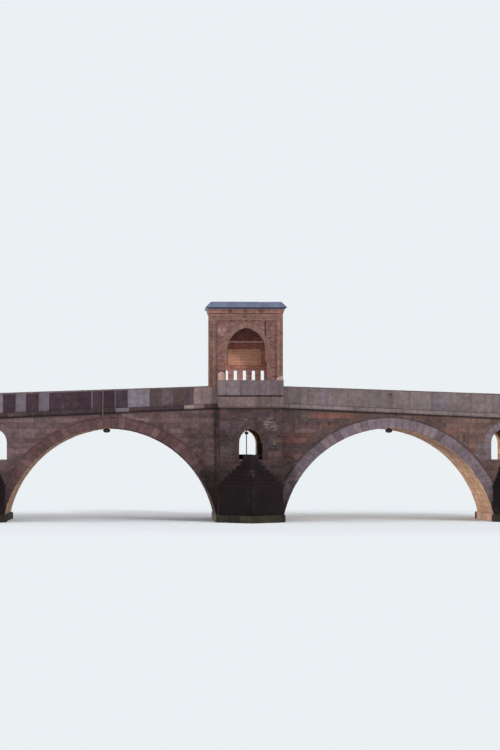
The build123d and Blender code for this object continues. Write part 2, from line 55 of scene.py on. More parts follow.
# The road, the piers and the big arches
face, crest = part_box("central_pier")[1].y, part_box("central_pier")[1].x
bridge_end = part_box("right_abutment")[1].x
string_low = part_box("balcony_base")[0].z
footing_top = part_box("footings")[1].z
road_fall, string_thick = 0.045, 0.26
road_top = string_low + string_thick
ring_base = 1.20
arch_axis, arch_half, arch_rise, arch_shift = 8.55, 6.55, 5.78, 0.22
arch_drop = (arch_half**2 + 2 * arch_half * arch_shift - arch_rise**2) / (2 * arch_rise)
arch_inner = hypot(arch_half + arch_shift, arch_drop)
arch_outer = arch_inner + 0.64
block_half = 1.90
projections = {"near": 0.80, "far": 1.00}

# The relief arches
tunnel_half, tunnel_radius = 0.72, 0.91007
tunnel_sill, tunnel_springing = 3.80, 4.85
flank_axis = 15.60
flank_ring, pier_ring, ring_lap = 0.42, 0.33, 0.06

# The cutwaters: half widths, how far the nose stands before the shoulder, and a slim one's shoulder from the wall
pier_cutwater, flank_cutwater, pier_point, flank_point, flank_shoulder = 1.97, 0.59, 2.0, 0.80, 0.15
cornice_low, cornice_high = 2.15, 2.28
toe = 0.05  # how far a cutwater's plan starts inside the wall, and a pier's shoulder stands past its block

# The balcony, the corbels under the kiosk, and the footings, which stand a step out from what they carry
balcony_half, balcony_reach = 2.0, 0.9
corbel_courses, corbel_height = 4, 0.18
step_out, pier_plinth, flank_plinth = 0.15, 2.15, 15.10

# The kiosk
kiosk_half = 2.33
kiosk_front, kiosk_back = 1.805, 4.905
kiosk_middle = (kiosk_front + kiosk_back) / 2
kiosk_floor = road_top + 0.15
ledge_low, ledge_top = kiosk_floor + 3.97, kiosk_floor + 4.06
wall_top = ledge_top + 1.68
door_half, door_wide, door_radius, door_ring = 1.215, 1.31, 1.44904, 0.30
door_springing, jamb_top = kiosk_floor + 3.37, kiosk_floor + 2.61
slot_low, slot_high = kiosk_floor + 0.95, kiosk_floor + 2.16
slot_half, slot_corner, slot_pitch = 0.113, 0.07, 0.582
inner_x, inner_front, inner_back = 1.85, 2.285, 4.425
vault_half, vault_drop = 1.70, 0.33214
vault_radius = hypot(vault_half, vault_drop)
vault_wall_top = ledge_top + 1.41
side_half, side_panels = 1.55, (1.07, 0.91, 0.75)
step_front, step_half, step_top = 1.455, 1.32, road_top + 0.075


def road(x):
    """Height of the string course's underside."""
    return string_low - road_fall * max(abs(x) - crest, 0.0)


class Arch:
    """A two-centred arch, on which a place is given by a radius and an angle up one of its halves."""

    def __init__(self, axis, springing, shift, drop):
        self.axis, self.springing, self.shift, self.drop = axis, springing, shift, drop

    def at(self, half, radius, angle):
        x = self.axis + half * (radius * cos(angle) - self.shift)
        return x, self.springing - self.drop + radius * sin(angle)

    def crown(self, radius):
        return acos(self.shift / radius)

    def angle_at(self, radius, height):
        return asin((height - self.springing + self.drop) / radius)

    def centre(self, half):
        return self.axis - half * self.shift, self.springing - self.drop


big_arch = Arch(arch_axis, 0.0, arch_shift, arch_drop)
flank_arch = Arch(flank_axis, tunnel_springing, tunnel_radius - tunnel_half, 0.0)
pier_arch = Arch(0.0, tunnel_springing, tunnel_radius - tunnel_half, 0.0)
door_arch = Arch(0.0, door_springing, 0.23404, 0.0)
vault_arch = Arch(0.0, ledge_top, 0.0, vault_drop)


# Outlines of stones

def centre_of(outline):
    return sum(u for u, _ in outline) / len(outline), sum(v for _, v in outline) / len(outline)


def area_of(outline):
    pairs = zip(outline[-1:] + outline[:-1], outline)
    return 0.5 * sum(pu * v - u * pv for (pu, pv), (u, v) in pairs)


def clip(outline, nu, nv, limit):
    """The part of a convex outline where nu * u + nv * v is at most the limit."""
    kept = []
    for i, (u, v) in enumerate(outline):
        pu, pv = outline[i - 1]
        here, before = nu * u + nv * v - limit, nu * pu + nv * pv - limit
        if (here <= 0) != (before <= 0):
            t = before / (before - here)
            kept.append((pu + t * (u - pu), pv + t * (v - pv)))
        if here <= 0:
            kept.append((u, v))
    return kept


def inset(outline, amount):
    """A convex outline with every edge moved inwards."""
    if len(outline) < 3:
        return []
    if area_of(outline) < 0:
        outline = outline[::-1]
    result = outline
    for i, (u, v) in enumerate(outline):
        pu, pv = outline[i - 1]
        length = hypot(u - pu, v - pv)
        if length < 1e-6:
            continue
        nu, nv = (v - pv) / length, -(u - pu) / length
        result = clip(result, nu, nv, nu * u + nv * v - amount)
        if len(result) < 3:
            return []
    return result


def beside(outline, centre, radius, way, aim=None):
    """Trims a stone by a circle's tangent, on the side of aim: way -1 keeps the outside, 1 the inside."""
    mu, mv = centre_of(aim or outline)
    nu, nv = mu - centre[0], mv - centre[1]
    length = hypot(nu, nv)
    nu, nv = nu / length, nv / length
    return clip(outline, way * nu, way * nv, way * (nu * centre[0] + nv * centre[1] + radius))


def outside(outline, centre, radius):
    """Trims a stone to the outside of a circle; the second pass aims by what the first one left."""
    trimmed = outline
    for _ in range(2):
        if len(trimmed) < 3:
            return []
        trimmed = beside(outline, centre, radius, -1, trimmed)
    return trimmed


def off_arch(outline, arch, radius):
    """Trims a stone to the outside of an arch's line."""
    if len(outline) < 3:
        return []
    low, high = min(u for u, _ in outline), max(u for u, _ in outline)
    if low < arch.axis - 0.02:
        outline = outside(outline, arch.centre(-1), radius)
    if outline and high > arch.axis + 0.02:
        outline = outside(outline, arch.centre(1), radius)
    return outline


def box_of(left, right, low, high):
    return [(left, low), (right, low), (right, high), (left, high)]


def softened(outline, amount):
    """An outline with its corners cut off."""
    result = []
    count = len(outline)
    for i, (u, v) in enumerate(outline):
        for ou, ov in (outline[i - 1], outline[(i + 1) % count]):
            length = hypot(ou - u, ov - v)
            share = min(amount, length * 0.4) / length
            result.append((u + (ou - u) * share, v + (ov - v) * share))
    return result


def linear(value):
    value = min(max(value, 0.0), 255.0) / 255.0
    return value / 12.92 if value < 0.04045 else ((value + 0.055) / 1.055) ** 2.4


def tone(red, green, blue):
    return (linear(red), linear(green), linear(blue), 1.0)


def show(piece_mesh, slot, replaced=()):
    """Makes the Blender object, and hides the solids that it stands for."""
    piece = bpy.data.objects.new(piece_mesh.name, piece_mesh)
    bpy.context.scene.collection.objects.link(piece)
    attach(piece, "root")
    if replaced:
        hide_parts(*replaced)


class Masonry:
    """Gathers closed blocks, each with a colour of its own, into one mesh."""

    def __init__(self, name, slot, finish, seed):
        self.name, self.slot, self.finish = name, slot, finish
        self.rng = random.Random(seed)
        self.points, self.faces, self.tints = [], [], []

    def pick(self, palette, spread=0.075):
        light = self.rng.uniform(1 - spread, 1 + spread)
        return tuple(linear(channel * light) for channel in self.rng.choice(palette))

    def spaced(self, start, end, length, last=()):
        """Joints along a course, kept clear of the joints in the course below."""
        joints = [start]
        while end - joints[-1] > length * 1.45:
            joint = joints[-1] + length * self.rng.uniform(0.62, 1.38)
            if any(abs(joint - other) < length * 0.16 for other in last):
                joint += length * 0.22
            joints.append(joint)
        return joints + [end]

    def levels(self, stops, wobble=0.03):
        """Course levels; each stop is a fixed height and the number of courses that lead to it."""
        levels = [stops[0][0]]
        for height, courses in stops[1:]:
            low = levels[-1]
            for i in range(1, courses + 1):
                shift = self.rng.uniform(-wobble, wobble) if i < courses else 0.0
                levels.append(low + (height - low) * i / courses + shift)
        return levels

    def block(self, outline, place, low, high, tint, bevels=(0.0, 0.008), wear=0.006,
              step=0.3, tilt=0.003, crown=0.003, side_shade=0.85, bends=()):
        """One stone: its outline in u and v, pushed from low to high along w, by way of the bends."""
        rng = self.rng
        cu, cv = centre_of(outline)
        ring = []
        for i, (u, v) in enumerate(outline):
            nu, nv = outline[(i + 1) % len(outline)]
            parts = max(1, min(5, round(hypot(nu - u, nv - v) / step)))
            for k in range(parts):
                t = (k + (rng.uniform(-0.2, 0.2) if k else 0.0)) / parts
                pu, pv = u + (nu - u) * t, v + (nv - v) * t
                reach = hypot(cu - pu, cv - pv)
                pull = min(rng.uniform(0.0, wear) * (1.0 if k else 2.2), reach * 0.3) / max(reach, 1e-6)
                ring.append((pu + (cu - pu) * pull, pv + (cv - pv) * pull))
        slope_u, slope_v = rng.uniform(-tilt, tilt), rng.uniform(-tilt, tilt)
        half_u = max(abs(u - cu) for u, _ in ring) + 1e-6
        half_v = max(abs(v - cv) for _, v in ring) + 1e-6

        def shrunk(amount):
            for u, v in ring:
                reach = max(hypot(cu - u, cv - v), 1e-6)
                share = min(amount * 1.35, reach * 0.45) / reach
                yield u + (cu - u) * share, v + (cv - v) * share

        layers = []
        if bevels[0]:
            layers.append([place(u, v, low) for u, v in shrunk(bevels[0])])
        heights = [low + bevels[0], *bends] + ([high - bevels[1]] if bevels[1] else [])
        layers += [[place(u, v, w) for u, v in ring] for w in heights]
        layers.append([
            place(u, v, high + slope_u * (u - cu) / half_u + slope_v * (v - cv) / half_v)
            for u, v in shrunk(bevels[1])
        ])
        start, count = len(self.points), len(ring)
        for layer in layers:
            self.points.extend(layer)
        self.points.append(place(cu, cv, high + crown))
        probe = 0.01
        here = Vector(place(cu, cv, high))
        probes = (cu + probe, cv, high), (cu, cv + probe, high), (cu, cv, high + probe)
        along = [Vector(place(*p)) - here for p in probes]
        turned = (along[0].cross(along[1]).dot(along[2]) < 0) != (area_of(outline) < 0)
        # Painted shade: the sides, down in the joints, are darkened by side_shade, and the bevels by half as much
        faces = [tuple(start + k for k in reversed(range(count)))]
        shades = [side_shade]
        side_level = 1 if bevels[0] else 0
        for level in range(len(layers) - 1):
            base = start + level * count
            for k in range(count):
                after = (k + 1) % count
                faces.append((base + k, base + after, base + count + after, base + count + k))
            shades += [side_shade if level == side_level else 0.5 + 0.5 * side_shade] * count
        rim, peak = start + (len(layers) - 1) * count, start + len(layers) * count
        faces += [(rim + k, rim + (k + 1) % count, peak) for k in range(count)]
        shades += [1.0] * count
        self.faces.extend(tuple(reversed(f)) if turned else f for f in faces)
        self.tints.extend(tuple(channel * shade for channel in tint) for shade in shades)

    def finish_piece(self, *replaced):
        mesh = bpy.data.meshes.new(self.name)
        mesh.from_pydata(self.points, [], self.faces)
        tint = mesh.color_attributes.new("tint", "FLOAT_COLOR", "CORNER")
        sizes = [len(f) for f in self.faces]
        colours = np.ones((sum(sizes), 4), np.float32)
        colours[:, :3] = np.repeat(np.array(self.tints, np.float32), sizes, axis=0)
        tint.data.foreach_set("color", colours.ravel())
        mesh.materials.append(self.finish)
        show(mesh, self.slot, replaced)


def whole(start, end):
    """The same stretch for every course."""
    return lambda low, high: [(start, end)]


def as_is(u, v, w):
    return (u, v, w)


def lay_wall(work, place, levels, spans, length, palette, trim=None, proud=(0.008, 0.015), gap=0.013):
    """Lays coursed stones between the levels; trim cuts each one to the outline of the wall."""
    last = []
    for low, high in zip(levels, levels[1:]):
        here = []
        shade = work.rng.uniform(0.88, 1.12)
        for start, end in spans(low, high):
            joints = work.spaced(start, end, length, last)
            here += joints
            for a, b in zip(joints, joints[1:]):
                outline = box_of(a, b, low, high)
                if trim:
                    outline = trim(outline)
                outline = inset(outline, gap / 2)
                if not outline or area_of(outline) < smallest_stone:
                    continue
                colours = palette(*centre_of(outline)) if callable(palette) else palette
                tint = tuple(shade * c for c in work.pick(colours))
                work.block(outline, place, buried, work.rng.uniform(*proud), tint)
        last = here


def lay_ring(work, arch, half, inner, outer, base, count, place, palette, proud=0.028, gap=0.009):
    """Voussoirs up one half of an arch, from a level base to the joint at its crown."""
    mean = (inner + outer) / 2

    def polar(u, v, w):
        x, z = arch.at(half, v, u / mean)
        return place(x, z, w)

    for i in range(count):
        outline = []
        for share, radius in ((i, inner), (i + 1, inner), (i + 1, outer), (i, outer)):
            first, last = arch.angle_at(radius, base), arch.crown(radius)
            outline.append(((first + (last - first) * share / count) * mean, radius))
        outline = inset(outline, gap / 2)
        high = proud + work.rng.uniform(-0.005, 0.005)
        work.block(outline, polar, buried, high, work.pick(palette), step=0.22)


def lay_soffit(work, arch, half, radius, angles, reach, place, length, palette, gap=0.012, proud=0.014):
    """Stones of a vault's underside, in rows that run through it; reach is its two ends along Y."""

    def polar(u, v, w):
        x, z = arch.at(half, radius - w, u / radius)
        return place(x, v, z)

    last = []
    for low, high in zip(angles, angles[1:]):
        joints = work.spaced(reach[0], reach[1], length, last)
        last = joints
        for a, b in zip(joints, joints[1:]):
            outline = inset(box_of(low * radius, high * radius, a, b), gap / 2)
            top = proud + work.rng.uniform(-0.005, 0.005)
            work.block(outline, polar, buried, top, work.pick(palette))


def mitred(path, closed):
    """At each corner of a plan path, the way out that keeps both edges parallel; outside is on the right."""
    normals = []
    for (ax, ay), (bx, by) in zip(path, path[1:] + path[:1]):
        length = hypot(bx - ax, by - ay)
        normals.append(((by - ay) / length, -(bx - ax) / length))
    result = []
    for i in range(len(path)):
        before, after = normals[i - 1], normals[i]
        if not closed and i == 0:
            before = after
        if not closed and i == len(path) - 1:
            after = before
        share = 1 + before[0] * after[0] + before[1] * after[1]
        result.append(((before[0] + after[0]) / share, (before[1] + after[1]) / share))
    return result


def legs_of(path, closed=False, height=None):
    """For each leg of a plan path its length, and the place of a stand-off, a height and a way along it."""
    corners = mitred(path, closed)
    for leg in range(len(path) if closed else len(path) - 1):
        after = (leg + 1) % len(path)
        (ax, ay), (bx, by), (ma, na), (mb, nb) = path[leg], path[after], corners[leg], corners[after]
        reach = hypot(bx - ax, by - ay)

        def place(u, v, w):
            t = w / reach
            x = (ax + ma * u) * (1 - t) + (bx + mb * u) * t
            y = (ay + na * u) * (1 - t) + (by + nb * u) * t
            return (x, y, height(x, v) if height else v)

        yield reach, place


def lay_run(work, path, section, length, palette, closed=False, height=None, joints=None,
            gap=course_gap, bevel=0.012, wear=0.003, tints=None, last_leg=None):
    """Lays blocks of one section end to end along a plan path, mitred at its corners."""
    for leg, (reach, place) in enumerate(legs_of(path, closed, height)):
        stops = joints if joints else work.spaced(0.0, reach, length)
        for i, (start, end) in enumerate(zip(stops, stops[1:])):
            colours = tints[i] if tints else palette
            if last_leg and leg == len(path) - 1:
                colours = last_leg
            work.block(
                section, place, start + gap / 2, end - gap / 2, work.pick(colours),
                bevels=(bevel, bevel), wear=wear, step=unsplit, tilt=0.001, crown=0.0, side_shade=1.0,
            )


# Colours of the stones, as they look in plain light; where a note below says so, painted light and shade are in them
# too
left_wall = [(108, 88, 92), (102, 81, 85), (95, 77, 81), (112, 92, 94), (91, 73, 75), (104, 82, 82)]
right_wall = [(101, 79, 77), (107, 85, 80), (94, 74, 73), (110, 88, 81), (90, 71, 68), (103, 80, 74)]
end_wall = [(112, 87, 82), (118, 93, 86), (104, 81, 78), (120, 96, 86)]
far_wall = [(124, 103, 97), (116, 95, 90), (130, 109, 102), (110, 89, 85), (122, 98, 91)]
red_stones = [(117, 80, 74), (108, 75, 69), (112, 82, 77), (103, 70, 65)]
warm_stones = [(104, 83, 83), (110, 84, 85), (98, 78, 78), (94, 73, 74), (107, 87, 87)]
olive_stones = [(96, 80, 79), (91, 76, 75)]
dusk_stones = [(100, 79, 78), (96, 75, 75), (104, 83, 84), (92, 72, 72)]
pale_stones = [(108, 96, 101), (100, 84, 85), (112, 99, 100)]
left_ring = [(99, 74, 74), (92, 68, 69), (103, 78, 77), (88, 65, 65), (97, 73, 72)]
right_ring = [(121, 107, 115), (117, 103, 110), (125, 109, 114), (113, 99, 106), (121, 104, 113)]
right_hood = [(82, 66, 67), (88, 71, 71)]
pilaster_stones = [(78, 60, 62), (70, 54, 56), (85, 65, 65), (65, 50, 54), (91, 67, 63), (76, 60, 68)]
river_stones = [(42, 32, 36), (39, 30, 33), (36, 28, 31), (45, 35, 38)]
plinth_stones = [(55, 51, 43), (48, 45, 38), (62, 57, 47)]
# Painted sunlight: pale tan for the right footing's inward face, where sun falls
painted_sun_foot_stones = [(176, 142, 126), (166, 132, 116)]
# Painted shade: dark stones for the parts of arch undersides and relief linings that stand in shadow
shaded_stones = [(58, 45, 41), (50, 39, 36), (64, 50, 44)]
# Warm tan stone of the undersides, brightened with painted light for the sun and its reflection off the water
painted_light_soffit_stones = [(194, 156, 129), (186, 148, 124), (202, 165, 136), (178, 141, 118), (192, 153, 131)]
white_slabs = [(114, 105, 117), (110, 102, 113), (118, 109, 119)]
pale_strips = [(104, 92, 96)]
brown_slabs = [(64, 47, 56), (71, 54, 60), (58, 43, 50), (78, 60, 62), (63, 48, 58)]
tan_slabs = [(127, 107, 108), (123, 104, 105)]
grey_slabs = [(115, 102, 105), (119, 106, 108), (111, 98, 102), (121, 108, 109)]
olive_slabs = [(117, 104, 104), (120, 106, 106)]
red_slabs, lilac_slabs = [(122, 101, 99)], [(116, 103, 110)]
moss_slab, dusk_slab, rust_slab, plum_slab = [(80, 66, 65)], [(90, 75, 82)], [(88, 68, 69)], [(80, 65, 72)]
string_stones = [(70, 54, 58), (75, 59, 62), (66, 51, 55)]
pale_strings = [(127, 112, 114), (123, 108, 110), (131, 116, 116)]
far_strings = [(100, 85, 86), (94, 80, 81), (105, 90, 90)]
balcony_stones = [(113, 99, 104), (109, 95, 100), (117, 103, 107)]
balcony_base_stones = [(116, 98, 97), (111, 93, 93), (119, 101, 99)]
paving_stones = [(118, 105, 99), (110, 98, 93), (126, 113, 105), (103, 91, 88)]
brick_reds = [(134, 95, 91), (127, 89, 85), (140, 101, 95), (121, 83, 80), (136, 100, 98), (115, 79, 76)]
# Painted light and painted shade: lighter and darker copies of the brick, for the panel steps and the lines under
# the cornice
brick_painted_light = [(146, 110, 99), (141, 104, 95), (150, 115, 102)]
brick_painted_shade = [(110, 76, 74), (104, 72, 70), (116, 81, 78)]
brick_tans = [(133, 104, 95), (127, 98, 90), (137, 108, 98)]
cornice_bricks = [[(158, 116, 104), (152, 111, 99), (164, 122, 109)], [(142, 102, 97), (136, 97, 92)]]
# Brick inside the kiosk, brightened with painted light for the light that reaches in; the back wall's is brightest
# low down and darker and redder towards the vault
inner_bricks = [(158, 97, 94), (150, 90, 87), (164, 104, 100)]
vault_bricks = [(178, 118, 116), (170, 110, 108), (185, 126, 122)]
inner_tops = [(210, 138, 124), (201, 130, 116), (217, 146, 131)]
inner_middles = [(224, 154, 138), (215, 146, 130), (230, 162, 145)]
inner_lows = [(234, 175, 167), (226, 166, 156), (240, 183, 174)]


class Finish:
    """A procedural material; the nodes that it makes are linked to, or given, what they take in."""

    def __init__(self, name, owner=None):
        self.material = owner or bpy.data.materials.new(name)
        self.material.use_nodes = True
        self.tree = self.material.node_tree
        self.tree.nodes.clear()
        self.coords = None if owner else self.add("TexCoord").outputs["Object"]

    def add(self, kind, inputs=None, **settings):
        made = self.tree.nodes.new("ShaderNode" + kind)
        for key, value in settings.items():
            setattr(made, key, value)
        for key, value in (inputs or {}).items():
            if isinstance(value, bpy.types.NodeSocket):
                self.tree.links.new(value, made.inputs[key])
            else:
                made.inputs[key].default_value = value
        return made

    def noise(self, scale, detail=4.0, rough=0.55, stretch=None, shift=(0.0, 0.0, 0.0)):
        coords = self.coords
        if stretch or any(shift):
            mapping = {"Vector": coords, "Location": shift, "Scale": stretch or (1.0, 1.0, 1.0)}
            coords = self.add("Mapping", mapping).outputs[0]
        inputs = {"Vector": coords, "Scale": scale, "Detail": detail, "Roughness": rough}
        return self.add("TexNoise", inputs).outputs[0]

    def span(self, value, low, high, to_low=0.0, to_high=1.0):
        inputs = {"Value": value, "From Min": low, "From Max": high, "To Min": to_low, "To Max": to_high}
        return self.add("MapRange", inputs, interpolation_type="SMOOTHSTEP").outputs[0]

    def math(self, operation, a, b=0.0, c=0.0):
        return self.add("Math", {0: a, 1: b, 2: c}, operation=operation).outputs[0]

    def lit(self, colour, value):
        if isinstance(colour, tuple):
            colour = colour[:3]
        return self.add("VectorMath", {0: colour, "Scale": value}, operation="SCALE").outputs[0]

    def mixed(self, factor, a, b):
        return self.add("Mix", {0: factor, 6: a, 7: b}, data_type="RGBA").outputs[2]

    def close(self, colour, roughness, height, depth, strength, metallic=0.0, gloss=0.22):
        bump = self.add("Bump", {"Height": height, "Distance": depth, "Strength": strength})
        shader = self.add("BsdfPrincipled", {
            "Base Color": colour, "Roughness": roughness, "Metallic": metallic,
            "Specular IOR Level": 0.5 if metallic else gloss, "Normal": bump.outputs[0],
        })
        self.add("OutputMaterial", {"Surface": shader.outputs[0]})
        return self.material


def stone_finish(name, base=None, damp=None, streaks=0.4, crust=0.45, lichen=0.30, rough=0.90,
                 pits=14.0, depth=0.006, stains=(), spots=(), crust_tone=(58, 48, 49), drip=0.0, gloss=0.22):
    """Weathered stone: patches, grain, pale lichen, dark crust, water streaks, damp near the river, and painted
    shadow under the string course.
    """
    f = Finish(name)
    colour = base if base else f.add("Attribute", attribute_name="tint").outputs["Color"]
    axes = f.add("SeparateXYZ", {0: f.coords}).outputs
    broad = f.noise(0.8, 3.0)
    blotch = f.noise(4.2, 6.0, 0.65)
    grain = f.noise(46.0, 3.0, 0.6)
    colour = f.lit(colour, f.span(broad, 0.3, 0.7, 0.88, 1.12))
    colour = f.lit(colour, f.span(blotch, 0.3, 0.72, 0.80, 1.20))
    colour = f.lit(colour, f.span(grain, 0.25, 0.75, 0.80, 1.20))
    pale = f.span(f.noise(2.6, 8.0, 0.72, shift=(7.0, 3.0, 1.0)), 0.55, 0.72, 0.0, lichen)
    colour = f.mixed(pale, colour, tone(148, 138, 134))
    dark = f.span(f.noise(1.5, 7.0, 0.7, shift=(2.0, 9.0, 5.0)), 0.54, 0.74, 0.0, crust)
    colour = f.mixed(dark, colour, tone(*crust_tone))
    run = f.span(f.noise(1.0, 5.0, 0.6, stretch=(4.5, 4.5, 0.35)), 0.5, 0.72, 0.0, streaks)
    colour = f.mixed(run, colour, tone(50, 43, 44))
    roughness = rough
    if damp:
        low, high, strength = damp
        level = f.math("MULTIPLY_ADD", f.noise(0.9, 5.0, 0.6), -1.6, axes["Z"])
        wet = f.span(level, low - 0.8, high - 0.8, strength, 0.0)
        colour = f.mixed(wet, colour, tone(36, 27, 29))
        roughness = f.math("MULTIPLY_ADD", wet, -0.18, rough)
    # A stain lies on the near face about an X, between two heights, with a wandering edge
    rise = f.math("MULTIPLY_ADD", blotch, 0.8, axes["Z"])
    for x, half, top, bottom, strength, paint in stains:
        across = f.math("ABSOLUTE", f.math("SUBTRACT", axes["X"], x))
        wander = f.math("MULTIPLY_ADD", blotch, half * 1.4, across)
        mask = f.span(wander, half * 0.5, half * 1.6, strength, 0.0)
        mask = f.math("MULTIPLY", mask, f.span(rise, bottom, bottom + 1.2))
        mask = f.math("MULTIPLY", mask, f.span(rise, top, top + 0.4, 1.0, 0.0))
        mask = f.math("MULTIPLY", mask, f.span(axes["Y"], -3.3, -3.1, 1.0, 0.0))
        colour = f.mixed(mask, colour, paint)
    # A spot fades out from its middle; the stretch of a noise, where there is one, breaks it up
    for place, reach, strength, stretch, paint in spots:
        away = f.add("VectorMath", {0: f.coords, 1: place}, operation="DISTANCE").outputs["Value"]
        mask = f.span(away, reach * 0.3, reach, strength, 0.0)
        if stretch:
            mask = f.math("MULTIPLY", mask, f.span(f.noise(1.0, 3.0, 0.6, stretch=stretch), 0.48, 0.64))
        colour = f.mixed(mask, colour, paint)
    # Painted shadow: a dark band on the wall just under the string course, for the shade that it casts
    if drip:
        fall = f.math("MAXIMUM", f.math("SUBTRACT", f.math("ABSOLUTE", axes["X"]), crest), 0.0)
        level = f.math("MULTIPLY_ADD", blotch, 0.12, f.math("MULTIPLY_ADD", fall, road_fall, axes["Z"]))
        under = f.span(level, string_low - 0.10, string_low + 0.02, 0.0, drip)
        colour = f.mixed(under, colour, tone(38, 29, 31))
    height = f.math("MULTIPLY_ADD", grain, 0.35, f.noise(pits, 8.0, 0.68))
    return f.close(colour, roughness, height, depth, 0.75, gloss=gloss)


green_run, dark_run, black_run = tone(44, 47, 43), tone(42, 34, 36), tone(21, 17, 16)
lime, salt, soot, painted_hole_shade = tone(176, 166, 166), tone(184, 158, 156), tone(44, 33, 33), tone(84, 50, 45)
level_marks, upright_marks, even_marks = (3.0, 3.0, 13.0), (16.0, 16.0, 1.6), (9.0, 9.0, 9.0)
wall_finish = stone_finish(
    "wall_stone", damp=(0.4, 3.4, 0.85), streaks=0.3, crust=0.38, lichen=0.22, drip=0.85,
    stains=(
        (-3.6, 2.6, 7.3, 2.2, 0.3, dark_run), (-5.8, 1.0, 7.3, 2.2, 0.22, dark_run),
        (-2.8, 1.3, 5.0, -1.5, 0.6, dark_run), (-2.5, 0.8, 3.3, -1.5, 0.85, black_run),
        (-14.6, 1.3, 4.8, -1.5, 0.35, dark_run), (2.6, 1.2, 7.1, 3.0, 0.34, dark_run),
        (2.4, 0.9, 4.4, 0.1, 0.7, dark_run), (-2.12, 0.17, 7.3, 2.0, 0.92, green_run),
    ),
    spots=[((x, -3.46, z), reach, strength, None, soot) for x, z, reach, strength in (
        (3.50, 6.05, 0.16, 0.65), (4.21, 6.05, 0.16, 0.85), (4.87, 6.04, 0.16, 0.85),
        (13.2, 5.26, 0.14, 0.7), (13.2, 5.04, 0.12, 0.6),
    )],
)
pilaster_finish = stone_finish(
    "pilaster_stone", damp=(2.2, 4.7, 0.85), streaks=0.35, crust=0.3, lichen=0.25, drip=0.7,
    stains=(
        (-1.97, 0.10, 7.1, 2.6, 0.8, green_run), (-0.9, 0.6, 7.1, 4.2, 0.25, dark_run),
        (-1.5, 0.7, 4.6, 0.5, 0.45, dark_run),
    ),
    spots=[((x, -4.27, z), reach, strength, level_marks, lime) for x, z, reach, strength in (
        (1.10, 6.02, 0.48, 0.6), (1.45, 5.80, 0.32, 0.4), (-0.35, 6.15, 0.60, 0.25),
        (-1.5, 4.5, 0.50, 0.3), (1.4, 4.9, 0.45, 0.3),
    )],
)
ring_finish = stone_finish(
    "ring_stone", damp=(0.3, 3.0, 0.82), streaks=0.15, crust=0.22, lichen=0.2,
    stains=(
        (-3.0, 1.5, 4.6, -1.5, 0.7, dark_run), (-2.6, 1.0, 3.4, -1.5, 0.9, black_run),
        (2.6, 1.0, 3.6, -1.5, 0.7, dark_run), (-14.8, 1.2, 4.4, -1.5, 0.35, dark_run),
    ),
)
soffit_finish = stone_finish("soffit_stone", damp=(0.0, 1.3, 0.35), streaks=0.15, crust=0.2, crust_tone=(92, 72, 58))
river_finish = stone_finish(
    "river_stone", damp=(2.4, 4.8, 0.74), streaks=0.3, lichen=0.10, gloss=0.12,
    stains=((0.0, 3.0, 2.2, -1.5, 0.75, black_run), (-15.4, 1.0, 4.4, -1.5, 0.3, black_run)),
    spots=(
        ((0.0, -6.25, 1.5), 0.75, 0.07, upright_marks, lime), ((0.0, -5.6, 3.2), 0.60, 0.16, upright_marks, lime),
    ),
)
plinth_finish = stone_finish("plinth_stone", streaks=0.2, lichen=0.1, crust=0.3, crust_tone=(34, 32, 27))
slab_finish = stone_finish(
    "slab_stone", streaks=0.28, crust=0.3, lichen=0.2, depth=0.004, crust_tone=(74, 63, 66),
    spots=[((x, -3.46, 7.83), 0.10, 0.8, None, soot) for x in (8.56, 8.70)],
)
string_finish = stone_finish("string_stone", streaks=0.3, crust=0.4, depth=0.004)
paving_finish = stone_finish("paving_stone", streaks=0.0, crust=0.3, depth=0.005, crust_tone=(78, 70, 66))
brick_finish = stone_finish(
    "kiosk_brick", streaks=0.18, crust=0.20, lichen=0.2, rough=0.86, pits=32.0, depth=0.003,
    crust_tone=(84, 62, 60),
    spots=(
        ((-1.70, 1.88, 12.00), 0.19, 0.65, None, salt), ((-1.42, 1.88, 12.05), 0.17, 0.65, None, salt),
        ((-1.52, 1.88, 11.82), 0.14, 0.4, None, salt), ((-1.55, 1.88, 11.95), 0.42, 0.6, even_marks, salt),
        # Painted shade: dark spots on the cornice face stand for putlog holes
        ((-1.03, 1.71, 13.26), 0.22, 0.85, None, painted_hole_shade), ((-0.08, 1.71, 13.26), 0.20, 0.7, None, painted_hole_shade),
        ((0.94, 1.71, 13.26), 0.22, 0.85, None, painted_hole_shade),
    ),
)


def joint(name, base, **settings):
    return stone_finish(name, base=tone(*base), **settings)


joint_finish = joint(
    "wall_joint", (100, 82, 80), damp=(0.6, 3.8, 0.85), streaks=0.3, lichen=0.85, crust=0.5, drip=0.85
)
ring_joint_finish = joint("ring_joint", (74, 59, 60), damp=(0.6, 3.6, 0.8), lichen=0.2)
pale_ring_joint_finish = joint("pale_ring_joint", (100, 87, 91), damp=(0.6, 3.6, 0.8), lichen=0.2)
river_joint_finish = joint("river_joint", (36, 28, 31), damp=(2.6, 5.6, 0.74), lichen=0.1)
pale_joint_finish = joint("slab_joint", (86, 73, 76), lichen=0.15)
brick_joint_finish = joint("brick_joint", (146, 118, 110), streaks=0.2, crust=0.25, depth=0.002)


# The two faces of the bridge, from the pilaster and the buttress to the ends

def spans_beside(arch, ring, start, end):
    """The stretches of each course beside a relief arch, which lap its ring."""
    lapped = tunnel_half + ring - ring_lap
    top = arch.at(1, tunnel_radius, arch.crown(tunnel_radius))[1] + ring

    def spans(low, high):
        if tunnel_sill < (low + high) / 2 < tunnel_springing:
            return [(start, arch.axis - lapped), (arch.axis + lapped, end)]
        if high > tunnel_springing and low < top:
            return [(start, arch.axis), (arch.axis, end)]
        return [(start, end)]

    return spans


